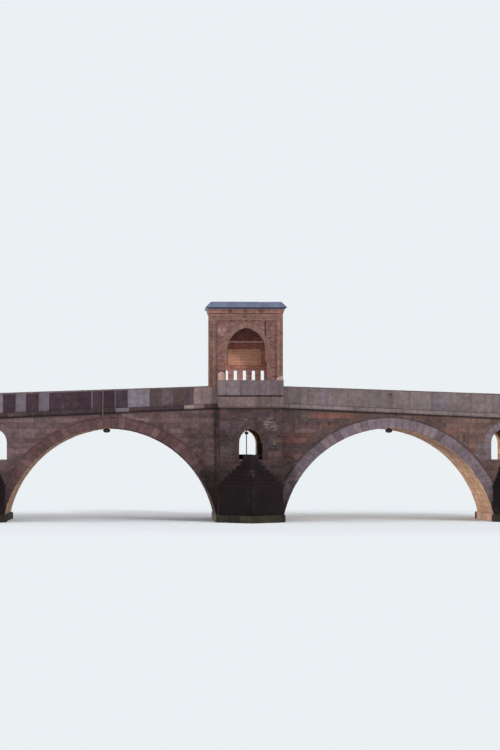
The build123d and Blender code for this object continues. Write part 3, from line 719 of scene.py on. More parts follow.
def lay_relief(work, place, arch, ring, colours, proud):
    """The ring of a relief arch, and the stones of its jambs."""
    for half in (-1, 1):
        lay_ring(
            work, arch, half, tunnel_radius - lip, tunnel_radius + ring, tunnel_springing, 5, place, colours,
            proud=proud,
        )
        edges = sorted(arch.axis + half * reach for reach in (tunnel_half - lip, tunnel_half + ring))
        levels = work.levels(((tunnel_sill, 0), (tunnel_springing, 3)))
        lay_wall(work, place, levels, whole(*edges), 0.6, colours, proud=(0.022, 0.028))


def wall_trim(outline):
    outline = clip(outline, road_fall, 1.0, string_low + road_fall * crest)
    outline = clip(outline, 0.0, 1.0, string_low)
    if len(outline) < 3:
        return []
    middle = centre_of(outline)[1]
    outline = off_arch(outline, big_arch, arch_inner if middle < ring_base else arch_outer)
    if outline and middle > tunnel_springing:
        outline = off_arch(outline, flank_arch, tunnel_radius + flank_ring - ring_lap)
    return outline


# Patches of other stones on the right-hand half: middle and half size, along the face and upwards
patches = [(pale_stones, place) for place in ((14.45, 4.6, 0.42, 0.7), (16.9, 3.9, 0.5, 0.6), (5.2, 4.9, 0.7, 0.15))]
patches += [(red_stones, place) for place in (
    (4.5, 6.55, 0.6, 0.22), (4.5, 5.95, 0.7, 0.22), (2.85, 5.1, 0.6, 0.25), (2.8, 3.95, 0.6, 0.25),
    (5.6, 6.5, 0.8, 0.15), (6.9, 6.75, 0.8, 0.2), (12.9, 5.6, 0.7, 0.3), (13.8, 4.36, 0.5, 0.2),
)]


def wall_colours(side, way):
    usual = far_wall if way == "far" else (left_wall if side == "left" else right_wall)

    def choose(u, v):
        if side == "right":
            for colours, (pu, pv, ru, rv) in patches:
                if abs(u - pu) < ru and abs(v - pv) < rv:
                    return colours
        if way == "near" and side == "left" and u < 6.5:
            return warm_stones
        if way == "near" and side == "right" and u > 11.6 and v > 4.3:
            return end_wall
        if way == "near" and side == "right" and u < 6.0:
            return olive_stones if u < 3.8 and v > 6.2 else dusk_stones
        return usual

    return choose


wall_stops = ((footing_top, 0), (ring_base, 2), (tunnel_sill, 8), (tunnel_springing, 3), (string_low, 7))
wall_spans = spans_beside(flank_arch, flank_ring, block_half, bridge_end)
for way, turn in ways.items():
    for side, sign in sides.items():
        seed = 12 + turn + (sign > 0)
        place = lambda u, v, w: (sign * u, turn * (face + w), v)
        work = Masonry(f"{side}_{way}_wall_stones", "wall_stone", wall_finish, seed)
        lay_wall(work, place, work.levels(wall_stops), wall_spans, 0.98, wall_colours(side, way), wall_trim)
        work.finish_piece()

        ring_colours = left_ring if side == "left" else right_ring
        work = Masonry(f"{side}_{way}_ring_stones", "ring_stone", ring_finish, seed + 20)
        for half in (-1, 1):
            lay_ring(work, big_arch, half, arch_inner - lip, arch_outer, ring_base, 20, place, ring_colours)
        work.finish_piece()

        work = Masonry(f"{side}_{way}_relief_ring_stones", "ring_stone", ring_finish, seed + 30)
        relief_colours = far_wall if way == "far" else (left_wall if side == "left" else right_ring)
        lay_relief(work, place, flank_arch, flank_ring, relief_colours, 0.026)
        work.finish_piece()


# Undersides of the two big arches, down to the footings

foot, first = big_arch.angle_at(arch_inner, footing_top), big_arch.angle_at(arch_inner, ring_base)
last = big_arch.crown(arch_inner)
angles = [foot, (foot + first) / 2] + [first + (last - first) * i / 20 for i in range(21)]
for side, sign in sides.items():
    work = Masonry(f"{side}_painted_light_soffit_stones", "ring_stone", soffit_finish, 50 + sign)
    for half in (-1, 1):
        # Painted shade: the pier-side half of the left arch's underside gets the shaded stones
        colours = shaded_stones if side == "left" and half < 0 else painted_light_soffit_stones
        lay_soffit(
            work, big_arch, half, arch_inner, angles, (-face - lip, face + lip),
            lambda x, y, z: (sign * x, y, z), 0.72, colours,
        )
    work.finish_piece()


# Hood moulds in short lengths, each bent once at its middle

first = big_arch.angle_at(arch_outer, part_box("near_hood_moulds")[0].z)
last = big_arch.crown(arch_outer)
section = softened(box_of(0.0, 0.1, 0.0, 0.06), 0.012)
for way, turn in ways.items():
    work = Masonry(f"{way}_hood_stones", "ring_stone", ring_finish, 60 + turn)
    for side, sign in sides.items():
        for half in (-1, 1):

            def place(u, v, w):
                x, z = big_arch.at(half, arch_outer + u, w / arch_outer)
                return (sign * x, turn * (face + v - 0.001), z)

            for i in range(9):
                start = (first + (last - first) * i / 9) * arch_outer
                end = (first + (last - first) * (i + 1) / 9) * arch_outer
                tint = work.pick(left_ring if side == "left" else right_hood)
                work.block(
                    section, place, start + 0.004, end - 0.004, tint, bevels=(0.0, 0.0), wear=0.002,
                    step=unsplit, tilt=0.0, crown=0.0, side_shade=1.0, bends=((start + end) / 2,),
                )
    work.finish_piece(f"{way}_hood_moulds")


# Pilaster and buttress, with the pier's relief arch through them

def block_trim(outline):
    if centre_of(outline)[1] > tunnel_springing:
        outline = off_arch(outline, pier_arch, tunnel_radius + pier_ring - ring_lap)
    return outline


block_spans = spans_beside(pier_arch, pier_ring, -block_half, block_half)
for way, turn in ways.items():
    front = face + projections[way]
    top = string_low if way == "near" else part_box("kiosk_buttress")[1].z - corbel_courses * corbel_height
    colours = pilaster_stones if way == "near" else far_wall
    work = Masonry(f"{way}_block_stones", "wall_stone", pilaster_finish, 70 + turn)
    stops = ((ring_base, 0), (tunnel_sill, 9), (tunnel_springing, 4), (top, 8 if way == "near" else 6))
    levels = work.levels(stops, 0.05)
    place = lambda u, v, w: (u, turn * (front + w), v)
    lay_wall(work, place, levels, block_spans, 0.58, colours, block_trim)
    for sign in sides.values():
        lay_wall(
            work, lambda u, v, w: (sign * (block_half + w), turn * u, v), levels, whole(face, front + lip),
            0.45, colours,
        )
    lay_relief(work, place, pier_arch, pier_ring, colours, 0.028)
    work.finish_piece()


# Linings of the three relief arches, with painted shade up to a place along Y and painted light beyond it

linings = (
    ("pier", pier_arch, -face - projections["near"], face + projections["far"], 2.6),
    ("left", flank_arch, -face, face, -9.0),
    ("right", flank_arch, -face, face, -0.6),
)
for name, arch, start, end, shaded_to in linings:
    sign = -1 if name == "left" else 1
    work = Masonry(f"{name}_relief_lining", "ring_stone", soffit_finish, 80 + len(name))
    angles = [arch.crown(tunnel_radius) * i / 5 for i in range(6)]
    levels = work.levels(((tunnel_sill, 0), (tunnel_springing, 3)))
    ends = (start - lip, end + lip)
    for half in (-1, 1):
        lay_soffit(
            work, arch, half, tunnel_radius, angles, ends, lambda x, y, z: (sign * x, y, z), 0.6, painted_light_soffit_stones
        )
        lay_wall(
            work, lambda u, v, w: (sign * (arch.axis + half * (tunnel_half - w)), u, v), levels, whole(*ends), 0.6,
            lambda u, v: shaded_stones if u < shaded_to else painted_light_soffit_stones, proud=(0.010, 0.016),
        )
    lay_wall(
        work, lambda u, v, w: (sign * (arch.axis + u), v, tunnel_sill + w), work.levels(((start, 0), (end, 14))),
        whole(-tunnel_half, tunnel_half), 0.6, painted_light_soffit_stones, proud=(0.007, 0.010),
    )
    work.finish_piece()


# Corbel courses that carry the kiosk

work = Masonry("corbel_stones", "wall_stone", wall_finish, 91)
for course in range(1, corbel_courses + 1):
    stand = course * (crest - block_half) / corbel_courses
    half, reach = block_half + stand, face + projections["far"] + stand
    base = string_low - (corbel_courses + 1 - course) * corbel_height
    section = softened(box_of(-0.40, 0.010, base + 0.004, base + corbel_height - 0.004), 0.02)
    lay_run(work, [(half, face), (half, reach), (-half, reach), (-half, face)], section, 0.62, far_wall)
work.finish_piece()


# Plain end faces of the abutments

for side, sign in sides.items():
    work = Masonry(f"{side}_end_stones", "wall_stone", wall_finish, 95 + sign)
    lay_wall(
        work, lambda u, v, w: (sign * (bridge_end + w), u, v),
        work.levels(((footing_top, 0), (road(bridge_end), 14))), whole(-face - lip, face + lip), 0.66, far_wall,
    )
    work.finish_piece()


# Cutwaters: walls, cornice, stepped cap and capstone

def dress_cutwater(name, centre, turn, half, shoulder, point, courses, rise, stone_half, stone_height,
                   length, seed):
    def plan(width, nose):
        """From the wall round the nose and back, with the outside on the right."""
        path = [
            (centre + width, face - toe), (centre + width, face + shoulder), (centre, face + nose),
            (centre - width, face + shoulder), (centre - width, face - toe),
        ]
        return path if turn > 0 else [(2 * centre - x, -y) for x, y in path]

    work = Masonry(name, "river_stone", river_finish, seed)
    path = plan(half, shoulder + point)
    levels = work.levels(((footing_top, 0), (cornice_low, 4)))
    for reach, place in legs_of(path):
        lay_wall(work, lambda u, v, w: place(w, v, u), levels, whole(0.0, reach), length, river_stones)
    section = softened(box_of(-0.30, 0.066, cornice_low, cornice_high + 0.006), 0.018)
    lay_run(work, path, section, length * 1.2, river_stones)
    for course in range(courses):
        width = half - (half - stone_half) * (course + 0.5) / courses
        low = cornice_high + rise * course / courses
        high = low + rise / courses
        section = softened(box_of(-min(0.34, width * 0.62), 0.010, low, high + 0.006), 0.02)
        lay_run(work, plan(width, shoulder + point * width / half), section, length, river_stones)
    low = cornice_high + rise
    work.block(
        plan(stone_half + 0.01, shoulder + point * stone_half / half + 0.01), as_is,
        low, low + stone_height + 0.006, work.pick(river_stones), bevels=(0.0, 0.03), side_shade=1.0, crown=0.006,
    )
    work.finish_piece()


for way, turn in ways.items():
    dress_cutwater(
        f"pier_{way}_cutwater_stones", 0.0, turn, pier_cutwater, projections[way] + toe, pier_point, 6, 1.42,
        0.48, 0.42, 0.62, 100 + turn,
    )
    for side, sign in sides.items():
        dress_cutwater(
            f"{side}_{way}_cutwater_stones", sign * flank_axis, turn, flank_cutwater, flank_shoulder,
            flank_point, 4, 0.85, 0.23, 0.26, 0.48, 104 + 2 * sign + turn,
        )


# Footings: a rim of large blocks round a core, out to the same outline

def grown_nose(half, shoulder, point):
    """The nose of a cutwater's plan when every side is moved out by the footing's step."""
    slant = hypot(half, point)
    level = (point * half + half * (face + shoulder)) / slant + step_out
    side = half + step_out
    return side, (level * slant - point * side) / half, level * slant / half


side_x, near_y, near_nose = grown_nose(pier_cutwater, projections["near"] + toe, pier_point)
side_x, far_y, far_nose = grown_nose(pier_cutwater, projections["far"] + toe, pier_point)
pier_near = [(-side_x, -near_y), (0.0, -near_nose), (side_x, -near_y), (pier_plinth, -face)]
pier_far = [(pier_plinth, face), (side_x, far_y), (0.0, far_nose), (-side_x, far_y), (-pier_plinth, face)]
rims = [[(-pier_plinth, -face)] + pier_near + pier_far]
half, flank_y, flank_nose = grown_nose(flank_cutwater, flank_shoulder, flank_point)
for sign in sides.values():
    rim_y = face + step_out
    nose = [(-half, rim_y), (-half, flank_y), (0.0, flank_nose), (half, flank_y), (half, rim_y)]
    inner, outer = flank_plinth - step_out, bridge_end + step_out
    if inner > flank_axis - half:
        nose = nose[1:]
    plan = [(inner, -rim_y)] + [(flank_axis + x, -y) for x, y in nose] + [(outer, -rim_y), (outer, rim_y)]
    plan += [(flank_axis - x, y) for x, y in nose] + [(inner, rim_y)]
    rims.append(plan if sign > 0 else [(-x, y) for x, y in reversed(plan)])
work = Masonry("footing_stones", "river_stone", plinth_finish, 111)
section = softened(box_of(-0.42, -0.001, 0.0, footing_top), 0.02)
for rim in rims:
    # Painted sunlight: the right footing's inward face is laid pale
    inner_leg = painted_sun_foot_stones if rim[0][0] > 0 else plinth_stones
    lay_run(work, rim, section, 0.8, plinth_stones, closed=True, last_leg=inner_leg)
cores = [
    box_of(-1.95, 1.95, -3.6, 3.6),
    [(-1.95, -4.2), (0.0, -6.2), (1.95, -4.2), (1.95, -3.6), (-1.95, -3.6)],
    [(1.95, 4.4), (0.0, 6.4), (-1.95, 4.4), (-1.95, 3.6), (1.95, 3.6)],
]
cores += [box_of(sign * 15.0, sign * 19.3, -3.5, 3.5) for sign in sides.values()]
for outline in cores:
    work.block(
        outline, as_is, 0.0, 0.43, tuple(linear(c) for c in (44, 38, 38)),
        bevels=(0.0, 0.0), wear=0.0, step=unsplit, tilt=0.0, crown=0.0,
    )
work.finish_piece("footings")


# String courses and parapets; joints are given as places along X

deck_end = road(bridge_end) + string_thick
parapets = {
    "near": (balcony_half, road_top + 1.05, deck_end + 1.17), "far": (kiosk_half, road_top + 1.27, deck_end + 1.45),
}
left_strings = [-19.21, -18.1, -17.0, -15.9, -14.8, -13.7, -12.6, -11.5, -10.4, -9.3, -8.26, -7.43, -6.2, -5.1,
                -4.06, -3.43, -2.83, -2.0]
left_string_tints = [string_stones] * 10 + [white_slabs] + [string_stones] * 3
left_string_tints += [pale_strings, tan_slabs, string_stones]
left_slabs = [-19.21, -18.57, -17.92, -17.17, -16.52, -15.77, -15.13, -14.36, -13.72, -12.95, -12.31, -11.54,
              -10.62, -9.74, -9.66, -8.97, -8.31, -8.23, -7.52, -6.17, -5.47, -4.73, -4.06, -3.47, -2.0]
left_slab_tints = [brown_slabs, white_slabs] * 5 + [brown_slabs] * 3
left_slab_tints += [pale_strips, brown_slabs, brown_slabs, pale_strips, brown_slabs, white_slabs]
left_slab_tints += [moss_slab, dusk_slab, rust_slab, plum_slab, tan_slabs]
right_slabs = [2.0, 3.13, 4.29, 5.07, 6.9, 8.49, 8.77, 9.83, 11.2, 12.4, 13.7, 15.0, 16.3, 17.7, 19.21]
right_slab_tints = [olive_slabs, olive_slabs, lilac_slabs, olive_slabs, grey_slabs, red_slabs, olive_slabs]
right_slab_tints += [grey_slabs, lilac_slabs, olive_slabs, olive_slabs] + [grey_slabs] * 3


def stops_from(path, places):
    """Joint places along X as distances down the path."""
    return sorted(abs(x - path[0][0]) for x in places) if places else None


for way, turn in ways.items():
    start, top_start, top_end = parapets[way]
    for side, sign in sides.items():
        seed = 123 + 2 * turn + sign
        ends = sorted((sign * start, sign * bridge_end), reverse=turn > 0)
        path = [(x, turn * face) for x in ends]
        colours, string_joints, string_tints, slab_joints, slab_tints = far_strings, None, None, None, None
        if way == "near" and side == "left":
            string_joints, string_tints = left_strings, left_string_tints
            slab_joints, slab_tints = left_slabs, left_slab_tints
        elif way == "near":
            colours, slab_joints, slab_tints = pale_strings, right_slabs, right_slab_tints

        work = Masonry(f"{side}_{way}_string_stones", "string_stone", string_finish, seed)
        section = [(-0.45, 0.0), (0.066, -0.004), (0.128, 0.058), (0.128, 0.262), (-0.45, 0.262)]
        lay_run(
            work, path, softened(section, 0.012), 1.05, colours, height=lambda x, v: road(x) + v,
            joints=stops_from(path, string_joints), tints=string_tints,
        )
        work.finish_piece()

        def height(x, v):
            share = (abs(x) - start) / (bridge_end - start)
            top = top_start + (top_end - top_start) * share
            return road(x) + string_thick + v if v < 0.5 else top + v - 1.0

        work = Masonry(f"{side}_{way}_parapet_slabs", "slab_stone", slab_finish, seed + 1)
        section = softened(box_of(-0.312, 0.012, 0.004, 1.006), 0.016)
        lay_run(
            work, path, section, 1.1, grey_slabs, height=height, joints=stops_from(path, slab_joints),
            tints=slab_tints, gap=slab_gap, bevel=0.014,
        )
        work.finish_piece()


# Balcony: moulded base, recessed joint and slab parapet

work = Masonry("balcony_base_stones", "slab_stone", slab_finish, 140)
base_high = string_low + 0.69
front = -face - balcony_reach
path = [(-balcony_half, -face - 0.001), (-balcony_half, front), (balcony_half, front), (balcony_half, -face - 0.001)]
section = softened(
    [(-0.462, string_low), (-0.082, string_low - 0.006), (0.010, string_low + 0.084),
     (0.010, base_high - 0.004), (-0.462, base_high - 0.004)], 0.012
)
lay_run(work, path, section, 1.05, balcony_base_stones, gap=slab_gap)
work.finish_piece()

work = Masonry("balcony_parapet_slabs", "slab_stone", slab_finish, 141)
slab_low, slab_high = base_high + 0.08, base_high + 1.01
section = softened(box_of(-0.312, 0.012, slab_low, slab_high + 0.006), 0.018)
side_joints, front_joints = [0.0, balcony_reach], [0.0, 1.35, 2.88, 2 * balcony_half]
for leg, joints, gap in ((0, side_joints, course_gap), (1, front_joints, 0.014), (2, side_joints, course_gap)):
    lay_run(work, path[leg:leg + 2], section, 1.0, balcony_stones, joints=joints, gap=gap)
# The recessed joint is laid in the dark brown slab colour, painted shade in the recess
section = softened(box_of(-0.312, -0.052, base_high, slab_low - 0.002), 0.008)
lay_run(work, path, section, 1.2, brown_slabs)
work.finish_piece()


# Road paving

def paving_spans(low, high):
    middle = (low + high) / 2
    inner = kiosk_half if middle > kiosk_front else step_half - 0.01
    if middle > step_front:
        return [(-bridge_end, -inner), (inner, bridge_end)]
    return [(-bridge_end, bridge_end)]


work = Masonry("paving_blocks", "paving_stone", paving_finish, 150)
rows = work.levels(((-3.0, 0), (step_front, 15), (kiosk_front, 1), (3.0, 4)), wobble=0.01)
lay_wall(
    work, lambda u, v, w: (u, v, road(u) + string_thick + w), rows, paving_spans, 0.46, paving_stones,
    proud=(0.007, 0.013), gap=slab_gap,
)
lay_wall(
    work, lambda u, v, w: (u, v, road_top + w), [-3.9, -3.6, -3.3, -3.0], whole(-1.55, 1.55), 0.46,
    paving_stones, proud=(0.007, 0.013),
)
work.finish_piece()


# Kiosk brickwork; the panel on each wall steps back three times

margins = (0.195, 0.355, 0.515)
tops = (wall_top - 0.125, wall_top - 0.355, wall_top - 0.525)
brick_stops = (
    (kiosk_floor, 0), (slot_low, 13), (slot_high, 16), (jamb_top, 6), (door_springing, 10),
    (ledge_low, 8), (ledge_top, 1), (tops[2], 15), (tops[1], 2), (tops[0], 3), (wall_top, 2),
)
brick_levels = [kiosk_floor]
for level, courses in brick_stops[1:]:
    low = brick_levels[-1]
    brick_levels += [low + (level - low) * i / courses for i in range(1, courses + 1)]
bands = ((12.68, 12.86, brick_tans), (12.86, 12.94, brick_painted_shade), (12.94, 13.06, brick_painted_light),
         (13.06, 13.2, brick_painted_shade))


def bricks_at(height, usual):
    """The top courses run round the kiosk in bands, which paint the light and shade of the panel steps and of the
    cornice over them.
    """
    for low, high, colours in bands:
        if low < height < high:
            return colours
    return usual(height) if callable(usual) else usual


def lay_bricks(work, place, start, end, low, high, depth=0.0, holes=None, trim=None, palette=brick_reds,
               length=0.25, proud=0.006):
    """Running-bond bricks over a rectangle; holes lists what each course leaves out."""
    for course, (bottom, top) in enumerate(zip(brick_levels, brick_levels[1:])):
        if bottom < low - 0.001 or top > high + 0.001:
            continue
        middle = (bottom + top) / 2
        colours = bricks_at(middle, palette)
        spans = [(start, end)]
        for a, b in (holes(middle) if holes else []):
            spans = [
                part for s, e in spans for part in ((s, min(a, e)), (max(b, s), e)) if part[1] > part[0]
            ]
        for s, e in spans:
            count = max(1, round((e - s) / length))
            size = (e - s) / count
            joints = [s + size * i for i in range(count + 1)]
            if course % 2 and count > 1:
                joints = [s] + [s + size * (i + 0.5) for i in range(count)] + [e]
            for a, b in zip(joints, joints[1:]):
                outline = box_of(a, b, bottom, top)
                if trim:
                    outline = trim(outline)
                outline = inset(outline, 0.0055)
                if not outline or area_of(outline) < smallest_brick:
                    continue
                stand = proud - depth + work.rng.uniform(-0.002, 0.002)
                work.block(
                    outline, place, -depth - 0.012, stand, work.pick(colours, 0.10),
                    bevels=(0.0, 0.004), wear=0.003, step=unsplit, tilt=0.001, crown=0.001, side_shade=0.8,
                )


def lay_panel_wall(work, place, half, inner_halves, holes=None, trim=None):
    """A wall with a panel that steps back three times, laid zone by zone; the frames behind the first and second
    steps are laid lighter and darker, painted light and shade on the steps.
    """
    outer, limit = half, wall_top
    for i, (inner, below, colours) in enumerate(zip(inner_halves, tops, (brick_reds, brick_painted_light, brick_painted_shade))):
        for a, b in ((-outer, -inner), (inner, outer)):
            lay_bricks(work, place, a, b, kiosk_floor, below, 0.03 * i, palette=colours, length=0.2)
        lay_bricks(work, place, -outer, outer, below, limit, 0.03 * i, palette=colours)
        outer, limit = inner, below
    lay_bricks(work, place, -outer, outer, kiosk_floor, limit, 0.09, holes, trim)


def door_holes(middle):
    if middle < jamb_top:
        return [(-door_wide, door_wide)]
    return [(-door_half, door_half)] if middle < door_springing else []


def door_trim(outline, ring=door_ring):
    if centre_of(outline)[1] > door_springing:
        return off_arch(outline, door_arch, door_radius + ring)
    return outline


def slot_holes(middle):
    if middle < slot_low or middle > slot_high:
        return []
    half, above = slot_half, middle - (slot_high - slot_corner)
    if above > 0:
        half += sqrt(slot_corner**2 - above**2) - slot_corner
    return [(x - half - 0.004, x + half + 0.004) for x in (i * slot_pitch for i in range(-2, 3))]


inner_halves = [kiosk_half - margin for margin in margins]
work = Masonry("kiosk_front_bricks", "kiosk_brick", brick_finish, 160)
lay_panel_wall(
    work, lambda u, v, w: (u, kiosk_front - w, v), kiosk_half, inner_halves, door_holes, door_trim
)
for half in (-1, 1):
    lay_ring(
        work, door_arch, half, door_radius - 0.004, door_radius + door_ring, door_springing, 21,
        lambda x, z, w: (x, kiosk_front + 0.09 - w, z), brick_tans, proud=0.014, gap=course_gap,
    )
work.finish_piece()

work = Masonry("kiosk_back_bricks", "kiosk_brick", brick_finish, 161)
lay_panel_wall(work, lambda u, v, w: (u, kiosk_back + w, v), kiosk_half, inner_halves, slot_holes)
work.finish_piece()

for side, sign in sides.items():
    work = Masonry(f"kiosk_{side}_bricks", "kiosk_brick", brick_finish, 162 + sign)
    lay_panel_wall(
        work, lambda u, v, w: (sign * (kiosk_half + w), kiosk_middle + u, v), side_half, side_panels
    )
    work.finish_piece()


# Inside faces, the doorway's reveals, and the vault

def painted_inner_light(height):
    """The back wall's bricks carry painted light: brightest low down, darker and redder towards its top, in the
    vault's shade.
    """
    if height > 10.92:
        return inner_tops
    return inner_middles if height > 9.62 else inner_lows


def under_vault(outline):
    """Trims a brick to the inside of the vault's line."""
    return beside(outline, (0.0, ledge_top - vault_drop), vault_radius, 1)


def inner_back_place(u, v, w):
    return (u, inner_back - w, v)


def inner_front_place(u, v, w):
    return (u, inner_front + w, v)


work = Masonry("kiosk_inner_bricks", "kiosk_brick", brick_finish, 170)
inside = (
    (inner_back_place, inner_x, kiosk_floor, ledge_low, slot_holes, None, painted_inner_light),
    (inner_front_place, inner_x, kiosk_floor, ledge_low, door_holes, lambda o: door_trim(o, 0.0), inner_bricks),
    (inner_back_place, vault_half, ledge_top, vault_wall_top, None, under_vault, vault_bricks),
    (inner_front_place, vault_half, ledge_top, vault_wall_top, None,
     lambda o: off_arch(under_vault(o), door_arch, door_radius), inner_bricks),
)
for place, half, low, high, holes, trim, colours in inside:
    lay_bricks(work, place, -half, half, low, high, 0.0, holes, trim, palette=colours, proud=0.005)
reveal = (kiosk_front + 0.085, inner_front + 0.004)
angles = [door_arch.crown(door_radius) * i / 21 for i in range(22)]
for sign in sides.values():
    for half, start, end, low, high, colours in (
        (inner_x, inner_front, inner_back, kiosk_floor, ledge_low, inner_bricks),
        (door_wide, *reveal, kiosk_floor, jamb_top, brick_reds),
        (door_half, *reveal, jamb_top, door_springing, brick_reds),
    ):
        lay_bricks(
            work, lambda u, v, w: (sign * (half - w), u, v), start, end, low, high, palette=colours, proud=0.005
        )
    lay_soffit(
        work, door_arch, sign, door_radius, angles, reveal, as_is, 0.24, brick_tans, gap=course_gap, proud=0.005
    )
first = asin(vault_drop / vault_radius)
lay_soffit(
    work, vault_arch, 1, vault_radius, [first + (pi - 2 * first) * i / 52 for i in range(53)],
    (inner_front, inner_back), as_is, 0.25, vault_bricks, gap=course_gap, proud=0.005,
)
work.finish_piece()

# Cornice: two courses of bricks on end, each standing further out
work = Masonry("kiosk_cornice_bricks", "kiosk_brick", brick_finish, 180)
plan = box_of(-kiosk_half, kiosk_half, kiosk_front, kiosk_back)
for course, stand in enumerate((0.05, 0.09)):
    low = wall_top + 0.125 * course
    section = box_of(stand - 0.10, stand + 0.006, low + 0.006, low + 0.119)
    lay_run(work, plan, section, 0.125, cornice_bricks[course], closed=True, bevel=0.003, wear=0.002)
work.finish_piece()

# Base course under the kiosk's walls
work = Masonry("kiosk_base_stones", "slab_stone", slab_finish, 182)
section = softened(box_of(-0.25, 0.010, string_low + 0.006, kiosk_floor - 0.004), 0.012)
lay_run(work, plan, section, 0.9, grey_slabs, closed=True)
work.finish_piece()

# Floor tiles and the step: its tread and its riser
work = Masonry("kiosk_floor_tiles", "paving_stone", paving_finish, 185)


def on_floor(u, v, w):
    return (u, v, kiosk_floor + w)


tiles = (
    (on_floor, work.levels(((inner_front, 0), (inner_back, 6))), inner_x, 0.4, 0.007, course_gap),
    (on_floor, [kiosk_front, inner_front], door_wide, 0.65, 0.007, course_gap),
    (lambda u, v, w: (u, v, step_top + w), [step_front, 1.81], step_half, 0.65, 0.007, course_gap),
    (lambda u, v, w: (u, step_front - w, v), [road_top, road_top + 0.081], step_half, 0.65, 0.006, 0.008),
)
for place, levels, half, length, least, gap in tiles:
    lay_wall(work, place, levels, whole(-half, half), length, paving_stones, proud=(least, 0.010), gap=gap)
work.finish_piece()


def plain_piece(name, points, faces, slot, material, smooth=False, replaced=()):
    mesh = bpy.data.meshes.new(name)
    mesh.from_pydata(points, [], faces)
    mesh.materials.append(material)
    mesh.update()
    if smooth:
        mesh.shade_smooth()
    show(mesh, slot, replaced)


def turned(name, profile, centre, material, sides_count=40, replaced=()):
    """A piece turned about an upright axis; the profile lists radii and heights, from the axis back to it."""
    points, faces, rings = [], [], []
    for radius, height in profile:
        count = sides_count if radius else 1
        rings.append(range(len(points), len(points) + count))
        for k in range(count):
            angle = 2 * pi * k / sides_count
            points.append((centre[0] + radius * cos(angle), centre[1] + radius * sin(angle), centre[2] + height))
    for lower, upper in zip(rings, rings[1:]):
        for k in range(sides_count):
            after = (k + 1) % sides_count
            corners = [lower[j % len(lower)] for j in (k, after)] + [upper[j % len(upper)] for j in (after, k)]
            faces.append(tuple(dict.fromkeys(corners)))
    plain_piece(name, points, faces, "lamp_metal", material, True, replaced)


class Tubes:
    """Gathers eight-sided tubes along paths of points."""

    def __init__(self):
        self.points, self.faces = [], []

    def add(self, path, radius):
        start = len(self.points)
        for i, here in enumerate(path):
            before, after = path[max(i - 1, 0)], path[min(i + 1, len(path) - 1)]
            along = (Vector(after) - Vector(before)).normalized()
            across = along.cross(Vector((0, 0, 1)))
            across = across.normalized() if across.length > 1e-4 else Vector((1, 0, 0))
            up = across.cross(along).normalized()
            for k in range(8):
                angle = 2 * pi * k / 8
                self.points.append(
                    tuple(Vector(here) + across * radius * cos(angle) + up * radius * sin(angle))
                )
        for i in range(len(path) - 1):
            a, b = start + 8 * i, start + 8 * i + 8
            self.faces += [(a + k, b + k, b + (k + 1) % 8, a + (k + 1) % 8) for k in range(8)]
        self.faces.append(tuple(start + k for k in range(8)))
        self.faces.append(tuple(start + 8 * (len(path) - 1) + k for k in reversed(range(8))))


def metal_finish(name, base, roughness, metallic, rust):
    f = Finish(name)
    colour = f.lit(base, f.span(f.noise(6.0, 6.0), 0.3, 0.7, 0.8, 1.2))
    patch = f.span(f.noise(14.0, 8.0, 0.7), 0.5, 0.66, 0.0, rust)
    colour = f.mixed(patch, colour, tone(92, 58, 44))
    level = f.math("MULTIPLY_ADD", patch, 0.3, roughness)
    return f.close(colour, level, f.noise(40.0, 5.0), 0.001, 0.5, metallic)


def lead_finish():
    """Grey lead with pale bloom and darker runs."""
    f = Finish("roof_lead")
    colour = f.lit(tone(102, 111, 140), f.span(f.noise(1.2, 5.0), 0.3, 0.7, 0.82, 1.15))
    colour = f.mixed(f.span(f.noise(7.0, 8.0, 0.7), 0.52, 0.7, 0.0, 0.5), colour, tone(150, 154, 166))
    run = f.span(f.noise(1.0, 5.0, stretch=(9.0, 9.0, 1.0)), 0.55, 0.72, 0.0, 0.4)
    colour = f.mixed(run, colour, tone(74, 78, 92))
    return f.close(colour, 0.55, f.noise(5.0, 6.0), 0.006, 0.6, 0.35)


def tablet_stone():
    """Pale warm ribs round cells that are a little darker, all lifted with painted light, as the tablet stands in
    the kiosk's shade.
    """
    f = Finish("tablet_stone")
    cell = f.span(f.add("SeparateXYZ", {0: f.coords}).outputs["Y"], 4.366, 4.382)
    colour = f.mixed(cell, tone(250, 204, 160), tone(244, 176, 160))
    colour = f.lit(colour, f.span(f.noise(5.0, 6.0, 0.65), 0.3, 0.7, 0.84, 1.14))
    wear = f.span(f.noise(22.0, 5.0, 0.7), 0.52, 0.7, 0.0, 0.35)
    colour = f.mixed(wear, colour, tone(186, 128, 104))
    return f.close(colour, 0.85, f.noise(30.0, 6.0, 0.65), 0.003, 0.6)


roof_finish = lead_finish()
lamp_finish = metal_finish("lamp_metal", tone(62, 60, 62), 0.5, 0.6, 0.4)
conduit_finish = metal_finish("conduit_metal", tone(112, 108, 106), 0.5, 0.6, 0.5)
iron_finish = metal_finish("old_iron", tone(40, 31, 31), 0.75, 0.2, 0.5)
tablet_finish = tablet_stone()

# Lead roof: sheets with rolled seams down the bevels and the slopes
eave = wall_top + 0.25
ridge_half, ridge_width = 0.875, 0.06
roof_levels = [
    (kiosk_half + 0.09, 1.64, eave), (kiosk_half + 0.245, 1.795, eave + 0.11),
    (kiosk_half - 0.085, 1.465, eave + 0.45), (ridge_half, ridge_width, eave + 0.545),
]
points, faces = [], []
for half_x, half_y, z in roof_levels:
    points += [(x, kiosk_middle + y, z) for x, y in box_of(-half_x, half_x, -half_y, half_y)]
for i in range(3):
    for k in range(4):
        a, b = 4 * i, 4 * i + 4
        faces.append((a + k, a + (k + 1) % 4, b + (k + 1) % 4, b + k))
faces += [(12, 13, 14, 15), (3, 2, 1, 0)]
plain_piece("roof_sheets", points, faces, "roof_lead", roof_finish, replaced=("kiosk_roof",))

